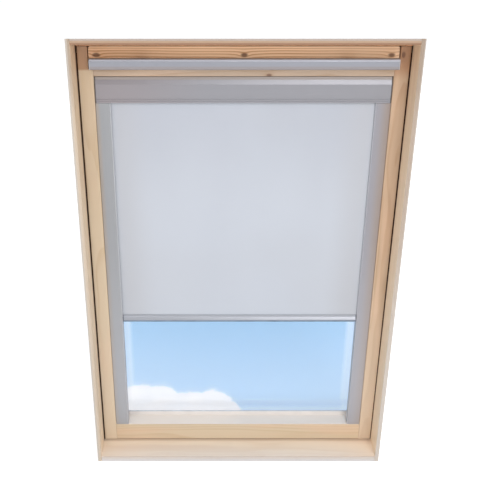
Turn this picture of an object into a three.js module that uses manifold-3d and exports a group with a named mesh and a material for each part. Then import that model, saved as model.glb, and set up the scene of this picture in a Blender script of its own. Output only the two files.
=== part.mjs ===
// A centre-pivot roof window with a cassette roller blind, built as separate pieces.
// Millimetres. X runs across the window, Y from the room to the outside, Z up the window.
// The origin is the middle of the underside of the frame's sill.
// Inside this file depths are counted from the room-side edge of the frame, and one group
// at the end moves the whole window so that the origin lies at half the frame's depth.

import * as THREE from 'three';
import { mergeVertices } from 'three/addons/utils/BufferGeometryUtils.js';
import Module from 'manifold-3d';

const wasm = await Module();
wasm.setup();

// Driving dimensions of the frame
const frameWidth = 780;
const frameHeight = 1180;
const frameDepth = 146;
const jambThickness = 10.5;
const headThickness = 13.5;
const sillThickness = 15.5;
const headSplayDegrees = 15;
const woodEdgeRadius = 2.5;

// Driving dimensions of the sash
const sashDepth = 70;
const sashSetBack = 2;
const sashGap = 2;
const headGap = 2.5;
const stileWidth = 34.5;
const bottomRailHeight = 52.5;
const topRailDrop = 89.6;
const topRailFaceHeight = 17.6;
const topRailStepHeight = 16;
const topRailStepDepth = 32;
const glassRebateWidth = 16;
const flapNotchWidth = 11;

// The insulating glass unit and its bead
const paneThickness = 4;
const spacerDepth = 14;
const spacerWidth = 8;
const spacerInset = 2;
const glassEdgeGap = 2;
const beadWidth = 4;
const beadDepth = 6;

// The pivot hinges
const pivotPlateHeight = 90;
const pivotPlateDepth = 28;
const framePlateThickness = 4.4;
const sashPlateThickness = 7.4;
const pivotPinRadius = 5;
const pivotPinEngagement = 6;
const pinClearance = 0.3;

// The ventilation flap, its control bar, filter and lock
const flapThickness = 12;
const flapRecess = 8;
const flapGap = 1.5;
const flapCornerRadius = 6;
const flapPinRadius = 2.5;
const flapPinDepth = 6;
const barHeight = 24;
const barDepth = 16;
const barStandOff = 26;
const barEndGap = 6.5;
const barDropBelowFlapPivot = 0.5;
const barWall = 1.6;
const barEdgeRadius = 5;
const barCapThickness = 2;
const barCapPlugDepth = 8;
const bracketWidth = 30;
const bracketHeight = 6.5;
const bracketRise = 8.5;
const bracketInset = 97.5;
const filterThickness = 12;
const filterHeight = 33;
const filterEndGap = 3;
const lockCaseWidth = 60;
const lockCaseDepth = 26;
const lockCaseHeight = 13;
const strikePlateWidth = 70;
const strikePlateLength = 24;
const strikePlateThickness = 1.5;
const strikeHoleWidth = 34;
const strikeHoleLength = 9;

// The weather seals in the gap between the jambs and the sash
const sealThickness = 1.4;
const sealDepth = 8;
const sealBackDistance = 10;

// The outside covers
const coverThickness = 1.5;
const coverClearance = 0.3;
const glazingCoverThickness = 2.7;
const glazingCoverWidth = 31;
const glazingCoverFootLap = 7;
const coverStandOff = 2;
const coverOverlap = 17.5;
const coverLegDepth = 14;
const pivotClearHeight = 110;
const coverEndGap = 1.5;
const pivotCoverGap = 6;
const hoodHeight = 96;
const hoodDepth = 21.7;
const hoodTopDrop = 44;
const hoodMouthDepth = 16;
const sillCoverHeight = 15;
const apronHeight = 38;
const apronDepth = 13;
const apronBottom = 12;

// The roller blind: cassette, roller, cloth, bottom bar and side channels
const blindEndGap = 0.5;
const cassetteGap = 1.5;
const cassetteFaceHeight = 44.6;
const cassetteBevelHeight = 10.4;
const cassetteBevelDepth = 4;
const cassetteCapHeight = 6.9;
const cassetteDepth = 38;
const cassetteWall = 1.8;
const cassetteSlotFront = 5;
const cassetteSlotWidth = 9;
const cassetteEndThickness = 2.5;
const channelWidth = 34.5;
const channelDepth = 24;
const channelGap = 0.3;
const channelSlotDepth = 14;
const channelSlotFront = 5;
const channelSlotWidth = 6.6;
const channelWall = 2.5;
const channelEdgeRadius = 1;
const brushWidth = 4;
const brushInset = 0.6;
const brushGap = 0.9;
const clothThickness = 0.5;
const clothPlane = 8;
const clothInChannel = 8;
const clothInBar = 7;
const rollerRadius = 9.5;
const rollerWall = 1.2;
const clothRollRadius = 12.5;
const rollerEndGap = 7;
const rollerPinRadius = 3;
const rollerPlugDepth = 14;
const rollerFlangeThickness = 1.5;
const rollerGap = 0.3;
const blindDrop = 602.5;
const bottomBarHeight = 20.5;
const bottomBarBack = 5;
const bottomBarFront = 3;
const bottomBarLip = 4.5;
const bottomBarNeckHeight = 5;
const bottomBarSlopeHeight = 6.5;
const bottomBarLipHeight = 5;
const bottomBarFootHeight = 2.5;
const bottomBarEdgeRadius = 0.8;
const bottomBarGap = 0.7;
const guideCapThickness = 1.8;
const guideTongueThickness = 2;
const guideTongueLength = 11;
const guideTongueMargin = 3;

// One overrun serves every cut, and these counts set how finely round shapes are made
const cutOverrun = 5;
const cornerSteps = 4;
const pinSides = 24;
const rollerSides = 32;

// Places that follow from the sizes above
const halfWidth = frameWidth / 2;
const jambInner = halfWidth - jambThickness;
const headSplay = Math.tan(THREE.MathUtils.degToRad(headSplayDegrees));
const sashHalfWidth = jambInner - sashGap;
const sashInner = sashHalfWidth - stileWidth;
const sashBack = frameDepth - sashSetBack;
const sashFront = sashBack - sashDepth;
const sashBottom = sillThickness + sashGap;
const ledgeHeight = sashBottom + bottomRailHeight;
const glassBack = sashBack;
const glassFront = glassBack - 2 * paneThickness - spacerDepth;
const glassHalfWidth = sashInner + glassRebateWidth - glassEdgeGap;
const glassBottom = ledgeHeight - glassRebateWidth + glassEdgeGap;
const topRailBottom = frameHeight - headThickness - topRailDrop - headGap;
const topRailTop = topRailBottom + topRailFaceHeight;
const topRailStepTop = topRailTop + topRailStepHeight;
const glassTop = topRailBottom + glassRebateWidth - glassEdgeGap;
const flapNotch = sashInner + flapNotchWidth;
const pivotY = sashFront + sashDepth / 2;
const pivotZ = frameHeight / 2;
const flapFront = sashFront + flapRecess;
const flapPivotY = flapFront + flapThickness / 2;
const flapPivotZ = topRailTop + flapGap + flapThickness / 2;

/** The height of the head's underside at a depth. */
function headUnderside(depth) {
  return frameHeight - headThickness - headSplay * depth;
}

/** The height of the sash's top edge at a depth. */
function sashTop(depth) {
  return headUnderside(depth) - headGap;
}

// Materials, from the photograph
const finish = (color, roughness, metalness = 0) => (
  new THREE.MeshStandardMaterial({ color, roughness, metalness })
);
const pine = finish(0xdcc09a, 0.55);
const pineFlap = finish(0xc39b72, 0.55);
const aluminium = finish(0xaaacb1, 0.35, 0.9);
const brightAluminium = finish(0xb6bac0, 0.3, 0.9);
const coverMetal = finish(0x5b5e62, 0.5, 0.7);
const steel = finish(0x9b9da1, 0.35, 1);
const rubber = finish(0x2a2826, 0.85);
const paleGasket = finish(0xd6d7da, 0.7);
const greyPlastic = finish(0x9a9ca2, 0.55);
const darkPlastic = finish(0x4a4d54, 0.55);
const foam = finish(0xd9d8d2, 0.95);
const blindCloth = finish(0xcdd1dc, 0.9);
const glass = new THREE.MeshStandardMaterial({
  color: 0xbfd9f2, roughness: 0.05, metalness: 0, transparent: true, opacity: 0.35,
});

// Shape helpers

/** A closed outline through corners [u, v, radius], rounded where a corner has a radius. */
function outline(corners) {
  const shape = new THREE.Shape();
  corners.forEach(([u, v, radius = 0], i) => {
    const here = new THREE.Vector2(u, v);
    const before = new THREE.Vector2(...corners.at(i - 1));
    const after = new THREE.Vector2(...corners[(i + 1) % corners.length]);
    const back = before.sub(here).normalize();
    const ahead = after.sub(here).normalize();
    const trim = radius / Math.tan(back.angleTo(ahead) / 2);
    const start = here.clone().addScaledVector(back, trim);
    const end = here.clone().addScaledVector(ahead, trim);
    if (i === 0) shape.moveTo(start.x, start.y);
    else shape.lineTo(start.x, start.y);
    if (radius > 0) shape.quadraticCurveTo(here.x, here.y, end.x, end.y);
  });
  shape.closePath();
  return shape;
}

/** The corners of a rectangle between two u and two v values, with one corner radius. */
function rectangle([u0, u1], [v0, v1], radius = 0) {
  return [[u0, v0, radius], [u1, v0, radius], [u1, v1, radius], [u0, v1, radius]];
}

/** A prism over an outline, as an extrusion from zero to the length along its own +Z. */
function prism(corners, length, hole = null) {
  const shape = outline(corners);
  if (hole) shape.holes.push(outline(hole));
  const settings = { depth: length, bevelEnabled: false, curveSegments: cornerSteps };
  return new THREE.ExtrudeGeometry(shape, settings);
}

/** A prism whose outline holds [y, z] corners, running from x0 to x1. */
function alongX(corners, [x0, x1], hole = null) {
  const turn = new THREE.Matrix4().set(0, 0, 1, x0, 1, 0, 0, 0, 0, 1, 0, 0, 0, 0, 0, 1);
  return prism(corners, x1 - x0, hole).applyMatrix4(turn);
}

/** A prism whose outline holds [x, z] corners, running from y0 to y1. */
function alongY(corners, [y0, y1], hole = null) {
  return prism(corners, y1 - y0, hole).rotateX(Math.PI / 2).translate(0, y1, 0);
}

/** A prism whose outline holds [x, y] corners, running from z0 to z1. */
function alongZ(corners, [z0, z1], hole = null) {
  return prism(corners, z1 - z0, hole).translate(0, 0, z0);
}

/** A box between three pairs of faces. */
function box([x0, x1], [y0, y1], [z0, z1]) {
  return new THREE.BoxGeometry(x1 - x0, y1 - y0, z1 - z0)
    .translate((x0 + x1) / 2, (y0 + y1) / 2, (z0 + z1) / 2);
}

/** A round bar along X, centred on a depth and height. */
function roundBar(radius, [x0, x1], [y, z], sides) {
  return new THREE.CylinderGeometry(radius, radius, x1 - x0, sides)
    .rotateZ(Math.PI / 2).translate((x0 + x1) / 2, y, z);
}

/** A ring along X between two radii, closed on itself, centred on a depth and height. */
function roundSleeve(inner, outer, [x0, x1], [y, z], sides) {
  const half = (x1 - x0) / 2;
  const section = [[inner, -half], [outer, -half], [outer, half], [inner, half], [inner, -half]];
  const profile = section.map(([r, h]) => new THREE.Vector2(r, h));
  return new THREE.LatheGeometry(profile, sides)
    .rotateZ(-Math.PI / 2).translate((x0 + x1) / 2, y, z);
}

/** The solid inside a closed geometry. */
function solid(geometry) {
  const bare = geometry.index ? geometry.toNonIndexed() : geometry.clone();
  bare.deleteAttribute('normal');
  bare.deleteAttribute('uv');
  const merged = mergeVertices(bare);
  const mesh = new wasm.Mesh({
    numProp: 3,
    vertProperties: new Float32Array(merged.attributes.position.array),
    triVerts: new Uint32Array(merged.index.array),
  });
  return new wasm.Manifold(mesh);
}

/** The geometry of a solid. */
function surface(manifold) {
  const mesh = manifold.getMesh();
  const geometry = new THREE.BufferGeometry();
  geometry.setAttribute('position', new THREE.BufferAttribute(mesh.vertProperties, mesh.numProp));
  geometry.setIndex(new THREE.BufferAttribute(mesh.triVerts, 1));
  return geometry;
}

/** A geometry less every tool. */
function cut(geometry, tools) {
  return surface(tools.reduce((left, tool) => left.subtract(solid(tool)), solid(geometry)));
}

/** A geometry and every addition as one piece. */
function join(geometry, additions) {
  return surface(additions.reduce((sum, more) => sum.add(solid(more)), solid(geometry)));
}

/** The part of a geometry that lies inside another. */
function trim(geometry, limit) {
  return surface(solid(geometry).intersect(solid(limit)));
}

/** The same geometry on the other side of the window's middle. */
function mirrored(geometry) {
  const copy = geometry.index ? geometry.toNonIndexed() : geometry.clone();
  copy.scale(-1, 1, 1);
  const points = copy.attributes.position;
  for (let i = 0; i < points.count; i += 3) {
    const first = new THREE.Vector3().fromBufferAttribute(points, i);
    const second = new THREE.Vector3().fromBufferAttribute(points, i + 1);
    points.setXYZ(i, second.x, second.y, second.z);
    points.setXYZ(i + 1, first.x, first.y, first.z);
  }
  copy.deleteAttribute('normal');
  return copy;
}

/** Adds one named piece to a group. */
function piece(group, name, material, geometry) {
  geometry.computeVertexNormals();
  const mesh = new THREE.Mesh(geometry, material);
  mesh.name = name;
  group.add(mesh);
}

/** Adds a piece on the left and its mirror image on the right. */
function pair(group, name, material, leftGeometry) {
  piece(group, `${name}_left`, material, leftGeometry);
  piece(group, `${name}_right`, material, mirrored(leftGeometry));
}

// The fixed frame: two jambs, a head that leans in towards the outside, and a sill

/** The outline of a hinge plate or its pocket, grown on every side by a clearance. */
function pivotPlateOutline(growth) {
  const halfDepth = pivotPlateDepth / 2 + growth;
  const halfHeight = pivotPlateHeight / 2 + growth;
  const across = [pivotY - halfDepth, pivotY + halfDepth];
  const up = [pivotZ - halfHeight, pivotZ + halfHeight];
  return rectangle(across, up, halfDepth / 2);
}

const framePocketFace = -jambInner - framePlateThickness - 2 * pinClearance;
const sashPocketFace = -sashHalfWidth + sashPlateThickness + 2 * pinClearance;

/** A jamb board with its top cut to the head's slope and a pocket for the hinge plate. */
function jamb() {
  const section = [
    [-halfWidth, 0],
    [-jambInner, 0, woodEdgeRadius],
    [-jambInner, frameDepth],
    [-halfWidth, frameDepth],
  ];
  const board = alongZ(section, [0, frameHeight]);
  const side = alongX(
    [[0, 0], [frameDepth, 0], [frameDepth, frameHeight - headSplay * frameDepth], [0, frameHeight]],
    [-halfWidth - cutOverrun, -jambInner + cutOverrun],
  );
  const pocket = alongX(pivotPlateOutline(pinClearance), [framePocketFace, -jambInner + cutOverrun]);
  return cut(trim(board, side), [pocket]);
}

/** A rectangle on the head's underside, pushed up into it by a depth and down by a drop. */
function strikeRecess(halfX, length, rise, drop) {
  const middle = sashBack - topRailStepDepth / 2;
  const [near, far] = [middle - length / 2, middle + length / 2];
  const corners = [
    [near, headUnderside(near) - drop],
    [far, headUnderside(far) - drop],
    [far, headUnderside(far) + rise],
    [near, headUnderside(near) + rise],
  ];
  return alongX(corners, [-halfX, halfX]);
}

/** The head board, which holds the strike plate in a shallow pocket. */
function head() {
  const section = [
    [0, frameHeight - headThickness, woodEdgeRadius],
    [frameDepth, headUnderside(frameDepth)],
    [frameDepth, frameHeight - headSplay * frameDepth],
    [0, frameHeight],
  ];
  const board = alongX(section, [-jambInner, jambInner]);
  const pocketHalf = strikePlateWidth / 2 + pinClearance;
  const pocketLength = strikePlateLength + 2 * pinClearance;
  const pocketRise = strikePlateThickness + pinClearance;
  return cut(board, [strikeRecess(pocketHalf, pocketLength, pocketRise, cutOverrun)]);
}

/** The steel plate in the head that the lock catches, with its slot. */
function strikePlate() {
  const plate = strikeRecess(strikePlateWidth / 2, strikePlateLength, strikePlateThickness, 0);
  const slot = strikeRecess(strikeHoleWidth / 2, strikeHoleLength, cutOverrun, cutOverrun);
  return cut(plate, [slot]);
}

/** The sill board. */
function sill() {
  const section = [
    [0, 0],
    [frameDepth, 0],
    [frameDepth, sillThickness],
    [0, sillThickness, woodEdgeRadius],
  ];
  return alongX(section, [-jambInner, jambInner]);
}

/** The weather seal on a jamb, in the gap beside the sash. */
function jambSeal() {
  const y1 = frameDepth - sealBackDistance;
  const y0 = y1 - sealDepth;
  return box([-jambInner, -jambInner + sealThickness], [y0, y1], [sillThickness, sashTop(y1)]);
}

/** The hinge plate that sits in the jamb, bored for its pin. */
function framePivotPlate() {
  const x1 = -jambInner - pinClearance;
  const plate = alongX(pivotPlateOutline(0), [x1 - framePlateThickness, x1]);
  const reach = [x1 - framePlateThickness - cutOverrun, x1 + cutOverrun];
  return cut(plate, [roundBar(pivotPinRadius + pinClearance, reach, [pivotY, pivotZ], pinSides)]);
}

/** The pin that carries the sash, fixed in the frame's plate. */
function pivotPin() {
  const reach = [-jambInner - pinClearance - framePlateThickness, -sashHalfWidth + pivotPinEngagement];
  return roundBar(pivotPinRadius, reach, [pivotY, pivotZ], pinSides);
}

function buildFrame() {
  const frame = new THREE.Group();
  pair(frame, 'frame_jamb', pine, jamb());
  piece(frame, 'frame_head', pine, head());
  piece(frame, 'frame_sill', pine, sill());
  pair(frame, 'jamb_seal', rubber, jambSeal());
  piece(frame, 'lock_strike_plate', steel, strikePlate());
  pair(frame, 'pivot_frame_plate', steel, framePivotPlate());
  pair(frame, 'pivot_pin', steel, pivotPin());
  return frame;
}

// The sash: stiles, rails, glass unit and lock

const flapPinReach = [-flapNotch - flapPinDepth, -flapNotch + flapGap + flapPinDepth];
const flapPinPlace = [flapPivotY, flapPivotZ];

/** A stile, rebated for the glass, notched for the flap, and cut for the hinge and flap pin. */
function stile() {
  const section = [
    [-sashHalfWidth, sashFront, woodEdgeRadius],
    [-sashInner, sashFront, woodEdgeRadius],
    [-sashInner, glassFront],
    [-sashInner - glassRebateWidth, glassFront],
    [-sashInner - glassRebateWidth, sashBack],
    [-sashHalfWidth, sashBack],
  ];
  const board = alongZ(section, [sashBottom, frameHeight]);
  const side = alongX(
    [
      [sashFront, sashBottom],
      [sashBack, sashBottom],
      [sashBack, sashTop(sashBack)],
      [sashFront, sashTop(sashFront)],
    ],
    [-sashHalfWidth - cutOverrun, -sashInner + cutOverrun],
  );
  const notch = box(
    [-flapNotch, -sashInner + cutOverrun],
    [sashFront - cutOverrun, sashBack + cutOverrun],
    [topRailTop, frameHeight],
  );
  const pocket = alongX(pivotPlateOutline(pinClearance), [-sashHalfWidth - cutOverrun, sashPocketFace]);
  const pinHoleReach = [flapPinReach[0] - pinClearance, -flapNotch + cutOverrun];
  const pinHole = roundBar(flapPinRadius + pinClearance, pinHoleReach, flapPinPlace, pinSides);
  return cut(trim(board, side), [notch, pocket, pinHole]);
}

/** The bottom rail, with its ledge in front of the glass. */
function bottomRail() {
  const section = [
    [sashFront, sashBottom, woodEdgeRadius],
    [sashBack, sashBottom],
    [sashBack, ledgeHeight - glassRebateWidth],
    [glassFront, ledgeHeight - glassRebateWidth],
    [glassFront, ledgeHeight],
    [sashFront, ledgeHeight, woodEdgeRadius],
  ];
  return alongX(section, [-sashInner, sashInner]);
}

/** The top rail, stepped up at the back behind the air filter. */
function topRail() {
  const section = [
    [sashFront, topRailBottom, woodEdgeRadius],
    [glassFront, topRailBottom],
    [glassFront, topRailBottom + glassRebateWidth],
    [sashBack, topRailBottom + glassRebateWidth],
    [sashBack, topRailStepTop],
    [sashBack - topRailStepDepth, topRailStepTop],
    [sashBack - topRailStepDepth, topRailTop],
    [sashFront, topRailTop, woodEdgeRadius],
  ];
  return alongX(section, [-sashInner, sashInner]);
}

/** The hinge plate that sits in the stile and turns on the pin. */
function sashPivotPlate() {
  const x0 = -sashHalfWidth + pinClearance;
  const plate = alongX(pivotPlateOutline(0), [x0, x0 + sashPlateThickness]);
  const reach = [x0 - cutOverrun, x0 + sashPlateThickness + cutOverrun];
  return cut(plate, [roundBar(pivotPinRadius + pinClearance, reach, [pivotY, pivotZ], pinSides)]);
}

/** One pane of the glass unit, from a depth. */
function pane(y0) {
  return box([-glassHalfWidth, glassHalfWidth], [y0, y0 + paneThickness], [glassBottom, glassTop]);
}

/** A rectangular ring standing in the window's plane. */
function ring(outerX, [outerLow, outerHigh], width, depths) {
  const outer = rectangle([-outerX, outerX], [outerLow, outerHigh]);
  const inner = rectangle([width - outerX, outerX - width], [outerLow + width, outerHigh - width]);
  return alongY(outer, depths, inner);
}

/** The lock's case on the top rail's step, under the strike plate. */
function lockCase() {
  const middle = sashBack - topRailStepDepth / 2;
  const depths = [middle - lockCaseDepth / 2, middle + lockCaseDepth / 2];
  const heights = [topRailStepTop, topRailStepTop + lockCaseHeight];
  return box([-lockCaseWidth / 2, lockCaseWidth / 2], depths, heights);
}

/** The air filter between the flap and the top rail's step. */
function airFilter() {
  const y1 = sashBack - topRailStepDepth;
  const halfLength = flapNotch - filterEndGap;
  return box([-halfLength, halfLength], [y1 - filterThickness, y1], [topRailTop, topRailTop + filterHeight]);
}

function buildSash() {
  const sash = new THREE.Group();
  pair(sash, 'sash_stile', pine, stile());
  piece(sash, 'sash_bottom_rail', pine, bottomRail());
  piece(sash, 'sash_top_rail', pine, topRail());
  pair(sash, 'pivot_sash_plate', steel, sashPivotPlate());
  piece(sash, 'glass_inner_pane', glass, pane(glassFront));
  piece(sash, 'glass_outer_pane', glass, pane(glassBack - paneThickness));
  const spacerOuter = glassHalfWidth - spacerInset;
  const spacerHeights = [glassBottom + spacerInset, glassTop - spacerInset];
  const spacerDepths = [glassFront + paneThickness, glassBack - paneThickness];
  piece(sash, 'glass_spacer', aluminium, ring(spacerOuter, spacerHeights, spacerWidth, spacerDepths));
  const beadDepths = [glassFront - beadDepth, glassFront];
  piece(sash, 'glazing_bead', paleGasket, ring(sashInner, [ledgeHeight, topRailBottom], beadWidth, beadDepths));
  piece(sash, 'lock_case', steel, lockCase());
  piece(sash, 'air_filter', foam, airFilter());
  pair(sash, 'flap_pin', steel, roundBar(flapPinRadius, flapPinReach, flapPinPlace, pinSides));
  return sash;
}

// The ventilation flap with its control bar

const flapHalfLength = flapNotch - flapGap;
const barHalfLength = flapNotch - barEndGap;
const barBack = flapFront - barStandOff;
const barFront = barBack - barDepth;
const barBottom = flapPivotZ - barDropBelowFlapPivot;
const barTop = barBottom + barHeight;

/** The flap board: round along its lower edge, where it turns, and sloped along its top. */
function ventFlap() {
  const bottom = topRailTop + flapGap;
  const back = flapFront + flapThickness;
  const section = [
    [flapFront, bottom, flapThickness / 2],
    [back, bottom, flapThickness / 2],
    [back, sashTop(back)],
    [flapFront, sashTop(flapFront)],
  ];
  const board = alongX(section, [-flapHalfLength, flapHalfLength]);
  const front = alongY(
    [
      [-flapHalfLength, bottom - cutOverrun],
      [flapHalfLength, bottom - cutOverrun],
      [flapHalfLength, sashTop(flapFront), flapCornerRadius],
      [-flapHalfLength, sashTop(flapFront), flapCornerRadius],
    ],
    [flapFront - cutOverrun, back + cutOverrun],
  );
  const holeEnd = flapPinReach[1] + pinClearance;
  const leftHole = roundBar(
    flapPinRadius + pinClearance, [-flapNotch - cutOverrun, holeEnd], flapPinPlace, pinSides,
  );
  const rightHole = roundBar(
    flapPinRadius + pinClearance, [-holeEnd, flapNotch + cutOverrun], flapPinPlace, pinSides,
  );
  return cut(trim(board, front), [leftHole, rightHole]);
}

/** The outline of the control bar, or of a shape inside it, shrunk on every side. */
function barOutline(shrink) {
  const radius = Math.max(barEdgeRadius - shrink, 0);
  return rectangle([barFront + shrink, barBack - shrink], [barBottom + shrink, barTop - shrink], radius);
}

/** The hollow control bar. */
function controlBar() {
  const half = barHalfLength - barCapThickness;
  return alongX(barOutline(0), [-half, half], barOutline(barWall));
}

/** An end cap of the control bar, with the plug that holds it. */
function barCap() {
  const x1 = -barHalfLength + barCapThickness;
  const plate = alongX(barOutline(0), [-barHalfLength, x1]);
  const plug = alongX(barOutline(barWall + pinClearance), [x1 - barCapThickness / 2, x1 + barCapPlugDepth]);
  return join(plate, [plug]);
}

/** A bracket between the flap and the control bar. */
function barBracket() {
  const x0 = -barHalfLength + bracketInset;
  const z0 = flapPivotZ + bracketRise;
  return box([x0, x0 + bracketWidth], [barBack, flapFront], [z0, z0 + bracketHeight]);
}

function buildFlap() {
  const flap = new THREE.Group();
  piece(flap, 'ventilation_flap', pineFlap, ventFlap());
  piece(flap, 'control_bar', brightAluminium, controlBar());
  pair(flap, 'control_bar_cap', greyPlastic, barCap());
  pair(flap, 'control_bar_bracket', steel, barBracket());
  return flap;
}

// The outside covers on the frame and the sash

const glazingCoverFront = sashBack + coverClearance;
const glazingCoverBack = glazingCoverFront + glazingCoverThickness;
const flangeFront = glazingCoverBack + coverStandOff;
const flangeBack = flangeFront + coverThickness;
const coverOuter = halfWidth + coverClearance + coverThickness;
const coverInner = jambInner - coverOverlap;
const hoodTop = frameHeight - hoodTopDrop;
const hoodBottom = hoodTop - hoodHeight;
const hoodFront = frameDepth + coverClearance;
const apronTop = apronBottom + apronHeight;

/** The bent section of a side cover, over a height range. */
function sideCover(heights) {
  const section = [
    [-coverOuter, flangeBack - coverLegDepth],
    [-coverOuter + coverThickness, flangeBack - coverLegDepth],
    [-coverOuter + coverThickness, flangeFront],
    [-coverInner, flangeFront],
    [-coverInner, flangeBack],
    [-coverOuter, flangeBack],
  ];
  return alongZ(section, heights);
}

/** The frame's side cover, which leaves the sash clear beside the pivot. */
function frameSideCover() {
  const low = pivotZ - pivotClearHeight;
  const relief = box(
    [-jambInner, -coverInner + cutOverrun],
    [flangeFront - cutOverrun, flangeBack + cutOverrun],
    [low - cutOverrun, pivotZ + pivotClearHeight],
  );
  return cut(sideCover([low, hoodBottom - coverEndGap]), [relief]);
}

/** The sash's side cover below the pivot, with the leg that stands on the glazing cover. */
function sashSideCover() {
  const heights = [apronTop + coverEndGap, pivotZ - pivotClearHeight - pivotCoverGap];
  const inner = [-coverInner - coverThickness, -coverInner];
  const leg = box(inner, [glazingCoverBack + coverClearance, flangeBack], heights);
  return join(sideCover(heights), [leg]);
}

/** The hood over the top, hollow and open towards the frame, so that air passes inside it. */
function hood() {
  const depths = [hoodFront, hoodFront + hoodDepth];
  const shell = box([-coverOuter, coverOuter], depths, [hoodBottom, hoodTop]);
  const hollow = box(
    [coverThickness - coverOuter, coverOuter - coverThickness],
    [hoodFront - cutOverrun, depths[1] - coverThickness],
    [hoodBottom + coverThickness, hoodTop - coverThickness],
  );
  const mouth = box(
    [coverThickness - coverOuter, coverOuter - coverThickness],
    [hoodFront - cutOverrun, depths[1] - hoodMouthDepth],
    [hoodBottom - cutOverrun, hoodBottom + coverThickness + cutOverrun],
  );
  return cut(shell, [hollow, mouth]);
}

/** The apron over the foot of the sash, open towards the frame. */
function apron() {
  const front = glazingCoverBack + coverClearance;
  const back = flangeFront + apronDepth;
  const shell = box([-coverOuter, coverOuter], [front, back], [apronBottom, apronTop]);
  const hollow = box(
    [coverThickness - coverOuter, coverOuter - coverThickness],
    [front - cutOverrun, back - coverThickness],
    [apronBottom + coverThickness, apronTop - coverThickness],
  );
  const heel = box(
    [-coverOuter - cutOverrun, coverOuter + cutOverrun],
    [front - cutOverrun, flangeFront],
    [apronBottom - cutOverrun, sashBottom],
  );
  return cut(shell, [hollow, heel]);
}

/** The flat cover on the sill's outside edge. */
function sillCover() {
  const depths = [frameDepth + coverClearance, frameDepth + coverClearance + coverThickness];
  return box([-jambInner, jambInner], depths, [0, sillCoverHeight]);
}

function buildFrameCovers() {
  const covers = new THREE.Group();
  pair(covers, 'frame_side_cover', coverMetal, frameSideCover());
  piece(covers, 'frame_hood', coverMetal, hood());
  piece(covers, 'frame_sill_cover', coverMetal, sillCover());
  return covers;
}

function buildSashCovers() {
  const covers = new THREE.Group();
  const depths = [glazingCoverFront, glazingCoverBack];
  const outer = sashHalfWidth;
  const inner = outer - glazingCoverWidth;
  const topHigh = topRailStepTop;
  const topLow = glassTop - glazingCoverWidth;
  const bottomHigh = glassBottom + glazingCoverFootLap;
  pair(covers, 'glazing_cover', coverMetal, box([-outer, -inner], depths, [sashBottom, topHigh]));
  piece(covers, 'glazing_cover_top', coverMetal, box([-inner, inner], depths, [topLow, topHigh]));
  piece(covers, 'glazing_cover_bottom', coverMetal, box([-inner, inner], depths, [sashBottom, bottomHigh]));
  pair(covers, 'sash_side_cover', coverMetal, sashSideCover());
  piece(covers, 'sash_apron', coverMetal, apron());
  return covers;
}

// The blind

const blindHalf = sashInner - blindEndGap;
const cassetteTop = topRailBottom - cassetteGap;
const cassetteBottom = cassetteTop - cassetteCapHeight - cassetteBevelHeight - cassetteFaceHeight;
const cassetteBack = sashFront + cassetteDepth;
const cassetteHalf = blindHalf - cassetteEndThickness;
const bevelBack = sashFront + cassetteBevelDepth;
const bevelBottom = cassetteBottom + cassetteFaceHeight;
const bevelTop = bevelBottom + cassetteBevelHeight;
const clothFront = sashFront + clothPlane;
const clothBack = clothFront + clothThickness;
const rollerY = clothBack + clothRollRadius + rollerGap;
const rollerZ = (cassetteBottom + cassetteTop) / 2;
const channelInner = blindHalf - channelWidth;
const channelTop = cassetteBottom - channelGap;
const channelBottom = ledgeHeight + channelGap;
const slotFront = sashFront + channelSlotFront;
const slotBack = slotFront + channelSlotWidth;
const clothHalf = channelInner + clothInChannel;
const barLow = cassetteBottom - blindDrop;
const barHigh = barLow + bottomBarHeight;
const clothBottom = barHigh - clothInBar;
const clothMiddle = (rollerZ + clothBottom) / 2;

/** The outside outline of the cassette. */
function cassetteOutline() {
  return [
    [sashFront, cassetteBottom],
    [cassetteBack, cassetteBottom],
    [cassetteBack, cassetteTop],
    [bevelBack, cassetteTop],
    [bevelBack, bevelTop],
    [sashFront, bevelBottom],
  ];
}

/** The cassette's shell, open below where the cloth comes out. */
function cassetteShell() {
  const slot0 = sashFront + cassetteSlotFront;
  const slot1 = slot0 + cassetteSlotWidth;
  const low = cassetteBottom + cassetteWall;
  const high = cassetteTop - cassetteWall;
  const near = sashFront + cassetteWall;
  const bevel = bevelBack + cassetteWall;
  const far = cassetteBack - cassetteWall;
  const section = [
    [slot0, cassetteBottom],
    [slot0, low],
    [near, low],
    [near, bevelBottom],
    [bevel, bevelTop],
    [bevel, high],
    [far, high],
    [far, low],
    [slot1, low],
    [slot1, cassetteBottom],
    ...cassetteOutline().slice(1),
    [sashFront, cassetteBottom, cassetteWall / 2],
  ];
  return alongX(section.reverse(), [-cassetteHalf, cassetteHalf]);
}

/** The plate that closes an end of the cassette, bored for the roller's pin. */
function cassetteEnd() {
  const plate = alongX(cassetteOutline(), [-blindHalf, -cassetteHalf]);
  const reach = [-blindHalf - cutOverrun, -cassetteHalf + cutOverrun];
  return cut(plate, [roundBar(rollerPinRadius + pinClearance, reach, [rollerY, rollerZ], pinSides)]);
}

/** The pin that carries an end of the roller, fixed in the cassette's end plate. */
function rollerPin() {
  const reach = [-blindHalf, -cassetteHalf + rollerEndGap + rollerPlugDepth];
  return roundBar(rollerPinRadius, reach, [rollerY, rollerZ], pinSides);
}

/** A side channel: a slot for the cloth on its inner side and a hollow chamber behind. */
function channel() {
  const slotEnd = channelInner + channelSlotDepth;
  const section = [
    [-blindHalf, sashFront, channelEdgeRadius],
    [-channelInner, sashFront, channelEdgeRadius],
    [-channelInner, slotFront],
    [-slotEnd, slotFront],
    [-slotEnd, slotBack],
    [-channelInner, slotBack],
    [-channelInner, sashFront + channelDepth, channelEdgeRadius],
    [-blindHalf, sashFront + channelDepth, channelEdgeRadius],
  ];
  const chamber = rectangle(
    [-blindHalf + channelWall, -slotEnd - channelWall],
    [sashFront + channelWall, sashFront + channelDepth - channelWall],
  );
  return alongZ(section, [channelBottom, channelTop], chamber);
}

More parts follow.
